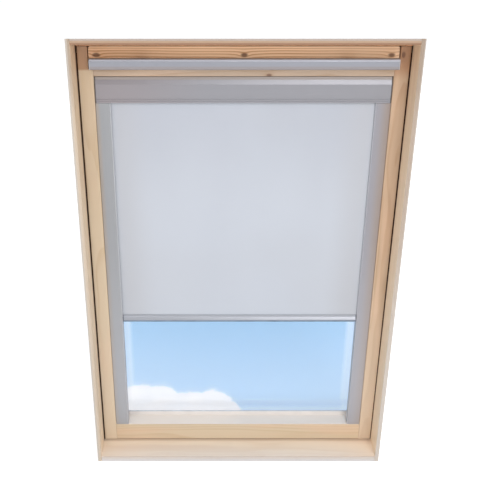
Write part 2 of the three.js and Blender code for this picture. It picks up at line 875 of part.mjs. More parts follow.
/** The brush strip in a channel's slot, behind the cloth. */
function channelBrush() {
  const x1 = -channelInner - brushInset;
  return box([x1 - brushWidth, x1], [clothBack + brushGap, slotBack], [channelBottom, channelTop]);
}

/** The plug in an end of the roller tube, with a flange and a bore for the pin. */
function rollerPlug() {
  const x0 = -cassetteHalf + rollerEndGap;
  const tubeStart = x0 + rollerFlangeThickness;
  const bore = rollerPinRadius + pinClearance;
  const place = [rollerY, rollerZ];
  const flange = roundSleeve(bore, rollerRadius, [x0, tubeStart - rollerGap], place, rollerSides);
  const body = roundSleeve(
    bore, rollerRadius - rollerWall - rollerGap, [x0, x0 + rollerPlugDepth], place, rollerSides,
  );
  return join(flange, [body]);
}

/** The roller's tube. */
function rollerTube() {
  const half = cassetteHalf - rollerEndGap - rollerFlangeThickness;
  return roundSleeve(rollerRadius - rollerWall, rollerRadius, [-half, half], [rollerY, rollerZ], rollerSides);
}

/** The cloth wound on the tube. */
function clothRoll() {
  const inner = rollerRadius + rollerGap;
  return roundSleeve(inner, clothRollRadius, [-clothHalf, clothHalf], [rollerY, rollerZ], rollerSides);
}

/** One half of the hanging cloth, between two heights. */
function clothPanel(heights) {
  return box([-clothHalf, clothHalf], [clothFront, clothBack], heights);
}

/** The outline of the bottom bar, with the grip lip along its room side. */
function bottomBarOutline() {
  const front = clothFront - bottomBarFront;
  const back = clothBack + bottomBarBack;
  const neckLow = barHigh - bottomBarNeckHeight;
  const lipHigh = neckLow - bottomBarSlopeHeight;
  const lipLow = lipHigh - bottomBarLipHeight;
  const footHigh = lipLow - bottomBarFootHeight;
  return [
    [front, barHigh, bottomBarEdgeRadius],
    [front, neckLow],
    [front - bottomBarLip, lipHigh, bottomBarEdgeRadius],
    [front - bottomBarLip, lipLow, bottomBarEdgeRadius],
    [front, footHigh],
    [front, barLow, bottomBarEdgeRadius],
    [back, barLow, bottomBarEdgeRadius],
    [back, barHigh, bottomBarEdgeRadius],
  ];
}

const bottomBarHalf = channelInner - bottomBarGap - guideCapThickness;

/** The bottom bar, grooved along its top for the cloth. */
function bottomBar() {
  const bar = alongX(bottomBarOutline(), [-bottomBarHalf, bottomBarHalf]);
  const groove = box(
    [-bottomBarHalf - cutOverrun, bottomBarHalf + cutOverrun],
    [clothFront - pinClearance, clothBack + pinClearance],
    [clothBottom - pinClearance, barHigh + cutOverrun],
  );
  return cut(bar, [groove]);
}

/** The cap on an end of the bottom bar, with the tongue that runs in the channel. */
function barGuide() {
  const x1 = -bottomBarHalf;
  const x0 = x1 - guideCapThickness;
  const plate = alongX(bottomBarOutline(), [x0, x1]);
  const middle = (clothFront + clothBack) / 2;
  const tongue = box(
    [x0 - guideTongueLength, x0 + guideCapThickness / 2],
    [middle - guideTongueThickness / 2, middle + guideTongueThickness / 2],
    [barLow + guideTongueMargin, clothBottom - guideTongueMargin],
  );
  const clothWay = box(
    [x0 - cutOverrun, x1 + cutOverrun],
    [clothFront - pinClearance, clothBack + pinClearance],
    [clothBottom - pinClearance, barHigh + cutOverrun],
  );
  return cut(join(plate, [tongue]), [clothWay]);
}

function buildBlindCase() {
  const blind = new THREE.Group();
  piece(blind, 'blind_cassette', aluminium, cassetteShell());
  pair(blind, 'blind_cassette_end', greyPlastic, cassetteEnd());
  pair(blind, 'roller_pin', steel, rollerPin());
  pair(blind, 'side_channel', aluminium, channel());
  pair(blind, 'channel_brush', darkPlastic, channelBrush());
  return blind;
}

function buildRoller() {
  const roller = new THREE.Group();
  piece(roller, 'roller_tube', steel, rollerTube());
  piece(roller, 'blind_cloth_roll', blindCloth, clothRoll());
  pair(roller, 'roller_plug', darkPlastic, rollerPlug());
  return roller;
}

function buildBottomBar() {
  const bar = new THREE.Group();
  piece(bar, 'blind_bottom_bar', aluminium, bottomBar());
  pair(bar, 'bottom_bar_guide', darkPlastic, barGuide());
  return bar;
}

function buildCloth() {
  const cloth = new THREE.Group();
  piece(cloth, 'blind_cloth_upper', blindCloth, clothPanel([clothMiddle, rollerZ]));
  piece(cloth, 'blind_cloth_lower', blindCloth, clothPanel([clothBottom, clothMiddle]));
  return cloth;
}

// The whole window, moved so that the origin lies at half the frame's depth
const roofWindow = new THREE.Group();
roofWindow.add(
  buildFrame(),
  buildFrameCovers(),
  buildSash(),
  buildSashCovers(),
  buildFlap(),
  buildBlindCase(),
  buildRoller(),
  buildBottomBar(),
  buildCloth(),
);
roofWindow.position.y = -frameDepth / 2;

export default roofWindow;
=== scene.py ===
"""A centre-pivot pine roof window with a cassette roller blind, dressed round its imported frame.

Metres. X runs across the window, Y from the room to the outside, Z up the window, and the
origin is the middle of the sill's underside at half the frame's depth. Sizes that belong to the
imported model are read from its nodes, and only what the new pieces add has a size of its own.
"""
import logging
import math
from dataclasses import dataclass
from enum import Enum
from typing import Optional, Sequence, Union

import bmesh
import bpy
import numpy as np
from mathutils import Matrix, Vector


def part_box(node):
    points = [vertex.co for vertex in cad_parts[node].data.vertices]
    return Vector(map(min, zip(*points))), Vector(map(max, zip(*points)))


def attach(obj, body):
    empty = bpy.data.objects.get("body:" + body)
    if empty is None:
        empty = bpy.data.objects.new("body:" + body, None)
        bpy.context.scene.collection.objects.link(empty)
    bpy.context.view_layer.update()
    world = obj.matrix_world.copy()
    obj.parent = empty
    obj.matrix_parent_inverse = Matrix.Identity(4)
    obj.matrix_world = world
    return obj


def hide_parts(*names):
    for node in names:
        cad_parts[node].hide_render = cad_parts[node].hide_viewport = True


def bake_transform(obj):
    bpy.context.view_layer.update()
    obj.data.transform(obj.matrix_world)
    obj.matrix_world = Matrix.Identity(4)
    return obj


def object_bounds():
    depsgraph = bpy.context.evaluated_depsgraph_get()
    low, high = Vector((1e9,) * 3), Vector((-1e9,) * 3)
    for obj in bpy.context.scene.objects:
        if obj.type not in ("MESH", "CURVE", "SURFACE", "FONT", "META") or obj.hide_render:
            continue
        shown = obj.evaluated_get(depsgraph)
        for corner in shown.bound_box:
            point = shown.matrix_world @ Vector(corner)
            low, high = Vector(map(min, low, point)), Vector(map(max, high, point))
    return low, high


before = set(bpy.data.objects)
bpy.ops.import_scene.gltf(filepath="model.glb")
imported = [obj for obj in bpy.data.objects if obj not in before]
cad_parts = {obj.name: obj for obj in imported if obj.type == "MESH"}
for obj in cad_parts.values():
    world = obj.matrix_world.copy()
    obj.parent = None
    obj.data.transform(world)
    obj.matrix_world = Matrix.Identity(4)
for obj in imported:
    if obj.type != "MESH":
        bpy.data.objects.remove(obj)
CAD_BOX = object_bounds()
LOG = logging.getLogger("roof_window")
MM = 0.001
SIDES = ("left", "right")

Material = bpy.types.Material
Piece = bpy.types.Object
Colour = tuple[float, float, float, float]
Triple = tuple[float, float, float]
Pair = tuple[float, float]
Corners = Sequence[Sequence[float]]


class Axis(Enum):
    """A direction along the window, as the index of its coordinate."""

    ACROSS = 0
    OUT = 1
    UP = 2


# Shader maths

Input = Union[float, Sequence[float], "Value"]


class Value:
    """A number or colour on a node's socket. Python's operators on it add Math nodes."""

    def __init__(self, graph: "Graph", socket: bpy.types.NodeSocket) -> None:
        """Keeps the socket and the graph it belongs to."""
        self.graph = graph
        self.socket = socket

    def math(self, operation: str, *others: Input, first: Optional[Input] = None) -> "Value":
        """Adds a Math node.

        Args:
            operation: The Math node's operation.
            others: What follows this value in the node's sockets.
            first: What comes before it, for a reflected operator.

        Returns:
            The node's result.
        """
        terms = (self, *others) if first is None else (first, self, *others)
        sockets = dict(enumerate(terms))
        return self.graph.node("ShaderNodeMath", sockets, operation=operation)

    def __add__(self, other: Input) -> "Value":
        """Gives this value plus the other."""
        return self.math("ADD", other)

    __radd__ = __add__

    def __sub__(self, other: Input) -> "Value":
        """Gives this value less the other."""
        return self.math("SUBTRACT", other)

    def __rsub__(self, other: Input) -> "Value":
        """Gives the other less this value."""
        return self.math("SUBTRACT", first=other)

    def __mul__(self, other: Input) -> "Value":
        """Gives this value times the other."""
        return self.math("MULTIPLY", other)

    __rmul__ = __mul__

    def __truediv__(self, other: Input) -> "Value":
        """Gives this value divided by the other."""
        return self.math("DIVIDE", other)

    def __rtruediv__(self, other: Input) -> "Value":
        """Gives the other divided by this value."""
        return self.math("DIVIDE", first=other)

    def __pow__(self, other: Input) -> "Value":
        """Gives this value raised to the other."""
        return self.math("POWER", other)

    def ramp(self, low: float, high: float) -> "Value":
        """Gives a smooth step between two numbers, which falls where low is the higher one.

        Args:
            low: Where the step is 0.
            high: Where it is 1.

        Returns:
            The step, which stays 0 and 1 outside the two.
        """
        turned = low > high
        limits = {"Value": self, "From Min": min(low, high), "From Max": max(low, high)}
        limits.update({"To Min": float(turned), "To Max": float(not turned)})
        return self.graph.node("ShaderNodeMapRange", limits, interpolation_type="SMOOTHSTEP")


class Graph:
    """The node graph of one material or world, which starts empty."""

    def __init__(self, name: str, world: bool = False) -> None:
        """Makes the material or the world that the graph belongs to, and empties its tree.

        Args:
            name: Its name.
            world: Whether it is a world.
        """
        self.owner = (bpy.data.worlds if world else bpy.data.materials).new(name)
        self.owner.use_nodes = True
        self.tree = self.owner.node_tree
        self.tree.nodes.clear()

    def node(
        self, kind: str, sockets: dict, output: Union[int, str] = 0, **settings: object,
    ) -> Value:
        """Adds a node.

        Args:
            kind: The node's type.
            sockets: Values or links by a socket's name, identifier or number.
            output: The number or identifier of the output that is wanted.
            settings: The node's own settings, which are set first.

        Returns:
            The wanted output.
        """
        made = self.tree.nodes.new(kind)
        for key, value in settings.items():
            setattr(made, key, value)
        by_identifier = {socket.identifier: socket for socket in made.inputs}
        for key, value in sockets.items():
            target = made.inputs[key] if isinstance(key, int) else by_identifier.get(key)
            target = target if target is not None else made.inputs[key]
            if isinstance(value, Value):
                self.tree.links.new(value.socket, target)
            else:
                target.default_value = value
        if isinstance(output, str):
            return Value(self, {socket.identifier: socket for socket in made.outputs}[output])
        return Value(self, made.outputs[output] if made.outputs else None)

    def place(self) -> Value:
        """Gives the point's place on the object, in metres."""
        return self.node("ShaderNodeTexCoord", {}, output="Object")

    def parts(self, vector: Value) -> tuple[Value, ...]:
        """Takes a vector apart.

        Args:
            vector: The vector.

        Returns:
            Its three coordinates.
        """
        split = self.node("ShaderNodeSeparateXYZ", {"Vector": vector})
        return tuple(Value(self, socket) for socket in split.socket.node.outputs)

    def rays(self, *kinds: str) -> Value:
        """Tells the rays of some kinds from the others.

        Args:
            kinds: The names of the Light Path node's outputs.

        Returns:
            1 for a ray of any of the kinds, and 0 for every other.
        """
        any_kind = self.node("ShaderNodeLightPath", {}, output=kinds[0])
        outputs = any_kind.socket.node.outputs
        for kind in kinds[1:]:
            any_kind = any_kind.math("MAXIMUM", Value(self, outputs[kind]))
        return any_kind

    def vector(self, x: Input, y: Input, z: Input) -> Value:
        """Joins three numbers to a vector."""
        return self.node("ShaderNodeCombineXYZ", {"X": x, "Y": y, "Z": z})

    def noise(
        self, vector: Value, scale: float, detail: float = 2.0, roughness: float = 0.5,
    ) -> Value:
        """Gives smooth noise between 0 and 1, with features about 1/scale across."""
        sockets = {"Vector": vector, "Scale": scale, "Detail": detail, "Roughness": roughness}
        return self.node("ShaderNodeTexNoise", sockets)

    def mix(self, factor: Input, first: Input, second: Input) -> Value:
        """Mixes two colours, the second by the factor."""
        sockets = {"Factor_Float": factor, "A_Color": first, "B_Color": second}
        return self.node("ShaderNodeMix", sockets, "Result_Color", data_type="RGBA")

    def bump(self, height: Value, depth: float, strength: float) -> Value:
        """Turns a height from 0 to 1 into a tilted normal, for a relief of the depth in metres."""
        sockets = {"Height": height, "Distance": depth, "Strength": strength}
        return self.node("ShaderNodeBump", sockets)

    def surface(self, **sockets: Input) -> Value:
        """Adds a Principled surface. Underscores in the names stand for spaces."""
        named = {name.replace("_", " "): value for name, value in sockets.items()}
        return self.node("ShaderNodeBsdfPrincipled", named)

    def done(self, shader: Value) -> Material:
        """Ends a material's graph with the shader and gives the material."""
        self.node("ShaderNodeOutputMaterial", {"Surface": shader})
        return self.owner


def rgb(red: float, green: float, blue: float) -> Colour:
    """Turns a colour as a screen shows it into linear light, by the sRGB curve.

    Args:
        red: The red part, from 0 to 255.
        green: The green part.
        blue: The blue part.

    Returns:
        The colour's linear parts, from 0 to 1, and full cover.
    """
    parts = np.array([red, green, blue]) / 255
    linear = np.where(parts <= 0.04045, parts / 12.92, ((parts + 0.055) / 1.055) ** 2.4)
    return (*(float(part) for part in linear), 1.0)


def toned(colour: Colour, factor: float, lift: float = 0.0) -> Colour:
    """Gives a colour times a factor plus a lift, at most white."""
    return (*(min(part * factor + lift, 1.0) for part in colour[:3]), 1.0)


# Finishes


@dataclass(frozen=True)
class Noise:
    """Smooth noise that is drawn out by its own rate along each of three directions.

    A feature is about 1 / (rate * scale) across. The shifts move the noise, and along the
    first direction so does a material's seed, times the part of it that is taken.
    """

    rates: Triple
    shifts: Triple = (0.0, 0.0, 0.0)
    seeded: float = 0.0
    scale: float = 1.0
    detail: float = 2.0
    roughness: float = 0.5

    def over(self, graph: Graph, directions: Sequence[Value], seed: float = 0.0) -> Value:
        """Lays the noise over a surface.

        Args:
            graph: The graph that the nodes go into.
            directions: The coordinates that the rates belong to.
            seed: The material's seed.

        Returns:
            The noise, from 0 to 1.
        """
        shifts = (self.shifts[0] + self.seeded * seed, *self.shifts[1:])
        terms = [part * rate for part, rate in zip(directions, self.rates)]
        terms = [term + shift if shift else term for term, shift in zip(terms, shifts)]
        return graph.noise(graph.vector(*terms), self.scale, self.detail, self.roughness)


@dataclass(frozen=True)
class Knot:
    """A knot in a board: where its middle lies in the window, and its radius."""

    place: Triple
    radius: float


@dataclass(frozen=True)
class Tint:
    """A part of a board or section with a colour of its own, where every limit on it holds.

    Each limit is an axis with the coordinates at which the tint is absent and at which it is
    full, and the tint fades smoothly between them.
    """

    colour: Colour
    strength: float
    limits: tuple[tuple[Axis, float, float], ...]

    def apply(self, graph: Graph, colour: Value, coordinates: Sequence[Value]) -> Value:
        """Mixes the tint into a colour.

        Args:
            graph: The graph that the nodes go into.
            colour: The piece's own colour.
            coordinates: The point's three coordinates.

        Returns:
            The tinted colour.
        """
        mask = None
        for axis, absent, full in self.limits:
            step = coordinates[axis.value].ramp(absent, full)
            mask = step if mask is None else mask * step
        return graph.mix(mask * self.strength, colour, self.colour)


class Figure(Enum):
    """The noises in the figure of sawn pine, by their rates along the grain and across it."""

    BEND = Noise((0.9, 6.0, 6.0), seeded=1.0, scale=1.6)
    SWAY = Noise((2.4, 5.0, 0.0), seeded=-1.0)
    RIPPLE = Noise((5.0, 40.0, 40.0), seeded=1.0)
    FIBRE = Noise((14.0, 700.0, 700.0), seeded=1.0, detail=3.0, roughness=0.65)
    STREAK = Noise((2.2, 95.0, 95.0), seeded=1.0, roughness=0.6)
    CLOUD = Noise((2.5, 9.0, 9.0), detail=1.0)
    PATCH = Noise((3.4, 26.0, 26.0), seeded=-1.0)


@dataclass(frozen=True)
class Pine:
    """Lacquered pine whose growth rings run round a pith line along the board.

    A ring's number is the distance from the pith divided by the ring width. Slow noise along
    the grain moves the pith, which bends the rings into long arches where the board is sawn
    flat, and each knot pushes them aside.
    """

    name: str
    grain: Axis
    early: Colour
    late: Colour
    pith: Pair
    seed: float
    knots: tuple[Knot, ...] = ()
    tints: tuple[Tint, ...] = ()
    contrast: float = 0.42
    ring_width: float = 4.2 * MM
    sway: float = 22.0 * MM
    bend_factor: float = 1.3
    ripple: float = 2.2 * MM
    late_start: Pair = (0.35, 0.86)
    late_end: Pair = (1.0, 0.93)
    tone_range: Pair = (-0.10, 0.95)
    streak: float = 0.55
    fibre: float = 0.22
    blush: Colour = (0.70, 0.47, 0.32, 1.0)
    blush_range: Pair = (0.46, 0.72)
    blush_strength: float = 0.42
    knot_colour: Colour = rgb(104, 66, 42)
    knot_strength: float = 0.85
    knot_squeeze: float = 0.6
    knot_push: float = 0.7
    knot_fall: float = 0.9
    knot_wobble: float = 0.8
    knot_rim: Pair = (1.10, 0.45)
    ring_relief: float = 0.35
    fibre_relief: float = 0.65
    relief_depth: float = 0.10 * MM
    roughness: float = 0.47
    coat: Pair = (0.22, 0.30)

    def material(self) -> Material:
        """Builds the material.

        Returns:
            The pine.
        """
        graph = Graph(self.name)
        coordinates = graph.parts(graph.place())
        across = [coordinates[axis.value] for axis in Axis if axis is not self.grain]
        directions = (coordinates[self.grain.value], *across)
        noises = {kind: kind.value.over(graph, directions, self.seed) for kind in Figure}
        fibre = noises[Figure.FIBRE]
        radius, knots = self.pass_knots(self.radius(across, noises), coordinates, noises)
        phase = (radius / self.ring_width).math("FRACT")
        ring = phase.ramp(*self.late_start) * phase.ramp(*self.late_end)
        colour = self.wood(graph, ring, noises)
        for tint in self.tints:
            colour = tint.apply(graph, colour, coordinates)
        if knots is not None:
            colour = graph.mix(knots * self.knot_strength, colour, self.knot_colour)
        relief = ring * self.ring_relief + fibre * self.fibre_relief
        return graph.done(graph.surface(
            Base_Color=colour, Roughness=self.roughness + fibre * 0.14 - ring * 0.06,
            Normal=graph.bump(relief, self.relief_depth, 0.5),
            Coat_Weight=self.coat[0], Coat_Roughness=self.coat[1],
        ))

    def radius(self, across: Sequence[Value], noises: dict[Figure, Value]) -> Value:
        """Works out how far the point lies from the swaying pith.

        Args:
            across: The two coordinates across the grain.
            noises: The figure's noises.

        Returns:
            The distance.
        """
        bend, sway = noises[Figure.BEND] - 0.5, noises[Figure.SWAY] - 0.5
        ripple = noises[Figure.RIPPLE] - 0.5
        u = across[0] - self.pith[0] + bend * (self.sway * self.bend_factor)
        v = across[1] - self.pith[1] + ripple * self.ripple + sway * self.sway
        return (u * u + v * v) ** 0.5

    def pass_knots(
        self, radius: Value, coordinates: Sequence[Value], noises: dict[Figure, Value],
    ) -> tuple[Value, Optional[Value]]:
        """Leads the rings round each knot.

        A knot adds its radius times push / (1 + fall * near^2), where near is the distance
        from its middle over its radius, and is squeezed along the grain.

        Args:
            radius: The distance from the pith.
            coordinates: The point's three coordinates.
            noises: The figure's noises.

        Returns:
            The distance as the knots leave it, and a mask of the knots where there are any.
        """
        wobble = (noises[Figure.RIPPLE] - 0.5) * self.knot_wobble
        mask = None
        for knot in self.knots:
            gaps = [part - middle for part, middle in zip(coordinates, knot.place)]
            gaps[self.grain.value] = gaps[self.grain.value] * self.knot_squeeze
            away = (gaps[0] * gaps[0] + gaps[1] * gaps[1] + gaps[2] * gaps[2]) ** 0.5
            near = away / knot.radius
            push = 1.0 / (1.0 + near * near * self.knot_fall)
            radius = radius + push * (knot.radius * self.knot_push)
            spot = (near + wobble).ramp(*self.knot_rim)
            mask = spot if mask is None else mask.math("MAXIMUM", spot)
        return radius, mask

    def wood(self, graph: Graph, ring: Value, noises: dict[Figure, Value]) -> Value:
        """Colours the wood between its early and its late tone, with redder patches.

        Args:
            graph: The graph that the nodes go into.
            ring: How much of the late wood a ring has here.
            noises: The figure's noises.

        Returns:
            The colour, before tints and knots.
        """
        streak, fibre = noises[Figure.STREAK] - 0.5, noises[Figure.FIBRE] - 0.5
        rings = ring * self.contrast * (0.55 + noises[Figure.CLOUD] * 0.9)
        tone = rings + streak * self.streak + fibre * self.fibre
        colour = graph.mix(tone.ramp(*self.tone_range), self.early, self.late)
        patch = noises[Figure.PATCH].ramp(*self.blush_range) * self.blush_strength
        return graph.mix(patch, colour, self.blush)


@dataclass(frozen=True)
class Metal:
    """Metal drawn or brushed along one direction, with lines in its sheen and a faint mottle."""

    name: str
    colour: Colour
    grain: Axis
    metallic: float = 0.55
    roughness: float = 0.38
    mottle: float = 0.06
    tints: tuple[Tint, ...] = ()
    line_rates: Pair = (4.0, 900.0)
    line_shade: float = 0.10
    line_roughness: float = 0.16
    line_depth: float = 0.02 * MM
    band_rates: Pair = (1.2, 60.0)
    band_shade: float = 0.12
    grime_scale: float = 22.0
    grime_roughness: float = 0.10
    darkest: float = 0.72
    lightest: float = 1.22

    def drawn(self, rates: Pair) -> Triple:
        """Gives a noise's rates along the axes, from those along the grain and across it."""
        return tuple(rates[0] if axis is self.grain else rates[1] for axis in Axis)

    def material(self) -> Material:
        """Builds the material.

        Returns:
            The metal.
        """
        graph = Graph(self.name)
        place = graph.place()
        parts = graph.parts(place)
        line = Noise(self.drawn(self.line_rates), detail=3.0, roughness=0.6).over(graph, parts)
        bands = Noise(self.drawn(self.band_rates)).over(graph, parts) - 0.5
        grime = graph.noise(place, self.grime_scale, 4.0, 0.6) - 0.5
        shade = (line - 0.5) * self.line_shade + bands * self.band_shade + grime * self.mottle
        dark, light = toned(self.colour, self.darkest), toned(self.colour, self.lightest)
        colour = graph.mix((shade + 0.5).ramp(0.0, 1.0), dark, light)
        for tint in self.tints:
            colour = tint.apply(graph, colour, parts)
        rough = self.roughness + (line - 0.5) * self.line_roughness + grime * self.grime_roughness
        return graph.done(graph.surface(
            Base_Color=colour, Metallic=self.metallic, Roughness=rough,
            Normal=graph.bump(line, self.line_depth, 0.5),
        ))


@dataclass(frozen=True)
class Lacquer:
    """Sprayed lacquer on sheet metal: fine orange peel, with dust where water has dried."""

    name: str
    colour: Colour
    roughness: float = 0.46
    dust: float = 0.22
    dust_range: Pair = (0.46, 0.70)
    peel_scale: float = 900.0
    peel_depth: float = 0.03 * MM
    film_scale: float = 14.0
    runs: Noise = Noise((70.0, 30.0, 3.0), detail=3.0, roughness=0.6)
    # near black, for painted shade in the orange peel
    peel_shade_colour: Colour = (0.02, 0.02, 0.02, 1.0)

    def material(self) -> Material:
        """Builds the material.

        Returns:
            The lacquer.
        """
        graph = Graph(self.name)
        place = graph.place()
        peel = graph.noise(place, self.peel_scale)
        film = graph.noise(place, self.film_scale, 5.0, 0.62)
        runs = self.runs.over(graph, graph.parts(place))
        dust = (film * 0.6 + runs * 0.4).ramp(*self.dust_range)
        colour = graph.mix(dust * self.dust, self.colour, toned(self.colour, 0.6, 0.16))
        # painted shade: up to a tenth of near black where the peel noise is high
        colour = graph.mix((peel - 0.5).ramp(0.0, 0.5) * 0.10, colour, self.peel_shade_colour)
        rough = self.roughness + dust * 0.16 + (peel - 0.5) * 0.06
        return graph.done(graph.surface(
            Base_Color=colour, Metallic=0.25, Roughness=rough,
            Normal=graph.bump(peel, self.peel_depth, 0.6),
        ))


@dataclass(frozen=True)
class Moulded:
    """Moulded plastic or rubber with a spark-eroded grain and slight wear in its tone."""

    name: str
    colour: Colour
    roughness: float = 0.55
    grain_scale: float = 1400.0
    grain_depth: float = 0.04 * MM
    shine: float = 0.5
    wear: float = 1.0
    wear_scale: float = 35.0
    tone_range: Pair = (0.3, 0.7)

    def material(self) -> Material:
        """Builds the material.

        Returns:
            The plastic or rubber.
        """
        graph = Graph(self.name)
        place = graph.place()
        grain = graph.noise(place, self.grain_scale)
        wear = graph.noise(place, self.wear_scale, 4.0, 0.6)
        light = toned(self.colour, 1 + 0.25 * self.wear, 0.012)
        dark = toned(self.colour, 1 - 0.22 * self.wear)
        colour = graph.mix((wear * 0.7 + grain * 0.3).ramp(*self.tone_range), dark, light)
        return graph.done(graph.surface(
            Base_Color=colour, Roughness=self.roughness + (wear - 0.5) * 0.18,
            Normal=graph.bump(grain, self.grain_depth, 0.6), Specular_IOR_Level=self.shine,
        ))


@dataclass(frozen=True)
class Foam:
    """Open-celled filter foam: round pores with painted shade in their middles, and a fine mottle.
    """

    name: str
    colour: Colour
    pore_scale: float = 420.0
    pore_range: Pair = (0.05, 0.55)
    pore_depth: float = 0.8 * MM
    fine_scale: float = 1100.0

    def material(self) -> Material:
        """Builds the material.

        Returns:
            The foam.
        """
        graph = Graph(self.name)
        cells = {"Vector": graph.place(), "Scale": self.pore_scale}
        depth = graph.node("ShaderNodeTexVoronoi", cells, "Distance").ramp(*self.pore_range)
        fine = graph.noise(cells["Vector"], self.fine_scale)
        # painted shade: the pores dark in their middles
        colour = graph.mix(depth * 0.8 + fine * 0.2, toned(self.colour, 0.35), self.colour)
        return graph.done(graph.surface(
            Base_Color=colour, Roughness=0.95, Normal=graph.bump(depth, self.pore_depth, 0.8),
        ))


@dataclass(frozen=True)
class BlindCloth:
    """Coated blind cloth, plain woven, on the cloth's own UV map in metres.

    The weave's height is the larger of two rows of threads, each the size of a sine along one
    direction that swaps over and under with the other.
    """

    name: str
    colour: Colour
    shadow: Colour
    greyed: Colour
    thread: float = 0.55 * MM
    thread_dip: float = 0.45
    weave_depth: float = 0.06 * MM
    slub: Noise = Noise((12.0, 900.0, 0.0))
    drop: Noise = Noise((5.0, 1.4, 0.0), detail=1.0)
    cream: Noise = Noise((3.0, 3.0, 0.0), (0.0, 0.0, 4.0), detail=1.0)
    # painted shade: darker towards the top
    top_shade: Pair = (0.72, 1.02)
    # painted shade: greyer towards the sides, by the channels
    side_shade: Pair = (0.21, 0.30)
    grey_patch: Pair = (0.45, 0.75)

    def material(self) -> Material:
        """Builds the material.

        Returns:
            The cloth.
        """
        graph = Graph(self.name)
        parts = graph.parts(graph.node("ShaderNodeUVMap", {}, uv_map="cloth"))
        u, v = parts[:2]
        warp, weft = ((part * (math.pi / self.thread)).math("SINE") for part in (u, v))
        over = (warp * weft).ramp(-0.6, 0.6) * self.thread_dip
        warp_height = warp.math("ABSOLUTE") * (1.0 - self.thread_dip + over)
        weave = warp_height.math("MAXIMUM", weft.math("ABSOLUTE") * (1.0 - over))
        slub = self.slub.over(graph, parts)
        drop = self.drop.over(graph, parts)
        tone = (drop - 0.5) * 0.4 + (slub - 0.5) * 0.10 + weave * 0.10 + 0.62
        # painted shade: darker towards the top
        tone = tone - v.ramp(*self.top_shade) * 0.35
        colour = graph.mix(tone.ramp(0.0, 1.0), self.shadow, self.colour)
        patch = self.cream.over(graph, parts).ramp(*self.grey_patch)
        # painted shade greyer towards the sides, plus slow greyer patches in the cloth's own tone
        greyed = u.math("ABSOLUTE").ramp(*self.side_shade) * 0.6 + patch * 0.25
        return graph.done(graph.surface(
            Base_Color=graph.mix(greyed, colour, self.greyed), Roughness=0.86,
            Sheen_Weight=0.12, Sheen_Roughness=0.45,
            Normal=graph.bump(weave + slub * 0.25, self.weave_depth, 0.5),
        ))


@dataclass(frozen=True)
class Dome:
    """One dome of the haze, whose height falls with a power of the way from its middle."""

    middle: float
    reach: float
    height: float
    fall: float

    def top(self, x: Value) -> Value:
        """Gives height * (1 - |(x - middle) / reach| ^ fall)."""
        return self.height * (1.0 - ((x - self.middle) / self.reach).math("ABSOLUTE") ** self.fall)


@dataclass(frozen=True)
class Glazing:
    """Clear glass with a tint that pales towards the foot of the pane and along its edges.

    Thin haze stands in the foot's corner, under the highest of three domes with slow noise on it.
    """

    name: str
    tint: Colour
    foot_tint: Colour
    edge_tint: Colour
    haze: float = 0.0
    cover: float = 1.0
    haze_colour: Colour = rgb(255, 252, 252)
    domes: tuple[Dome, ...] = (
        Dome(-0.250, 0.125, 0.163, 4.0), Dome(-0.200, 0.215, 0.138, 8.0),
        Dome(-0.075, 0.124, 0.147, 2.0),
    )
    brow_wave: float = 0.035
    brow_fade: float = 0.016
    brow_noise: Noise = Noise((26.0, 0.0, 42.0), detail=5.0, roughness=0.6)
    haze_noise: Noise = Noise((14.0, 0.0, 26.0), (0.0, 5.0, 0.0), detail=4.0, roughness=0.6)
    wipes: Noise = Noise((9.0, 0.0, 40.0), (0.0, 3.0, 0.0), detail=3.0)
    foot_fade: Pair = (0.44, 0.08)
    side_edge: Pair = (0.288, 0.304)
    foot_edge: Pair = (0.082, 0.074)
    # painted light: paler at the pane's foot, over the floor's shadow seen through it
    foot_painted_light: Pair = (0.112, 0.100)

    def material(self) -> Material:
        """Builds the material.

        Returns:
            The glass.
        """
        graph = Graph(self.name)
        parts = graph.parts(graph.place())
        x, _, z = parts
        colour = graph.mix(z.ramp(*self.foot_fade), self.tint, self.foot_tint)
        edge = x.math("ABSOLUTE").ramp(*self.side_edge).math("MAXIMUM", z.ramp(*self.foot_edge))
        # painted light at the foot, over the floor's shadow seen through the glass
        edge = edge.math("MAXIMUM", z.ramp(*self.foot_painted_light) * 0.45)
        colour = graph.mix(edge * 0.6, colour, self.edge_tint)
        density = self.haze * (0.6 + self.haze_noise.over(graph, parts) * 0.8)
        colour = graph.mix(self.hazed(graph, parts) * density, colour, self.haze_colour)
        return graph.done(graph.surface(
            Base_Color=colour, Roughness=0.004 + self.wipes.over(graph, parts) * 0.012,
            Transmission_Weight=1.0, IOR=1.45, Alpha=self.cover,
        ))

    def hazed(self, graph: Graph, parts: Sequence[Value]) -> Value:
        """Masks the haze: what lies below the domes, with a wave in their upper edge.

        Args:
            graph: The graph that the nodes go into.
            parts: The point's three coordinates.

        Returns:
            1 in the haze and 0 above it.
        """
        brow = self.domes[0].top(parts[0])
        for dome in self.domes[1:]:
            brow = brow.math("MAXIMUM", dome.top(parts[0]))
        wave = (self.brow_noise.over(graph, parts) - 0.5) * self.brow_wave
        return (brow - parts[2] + wave).ramp(0.0, self.brow_fade)


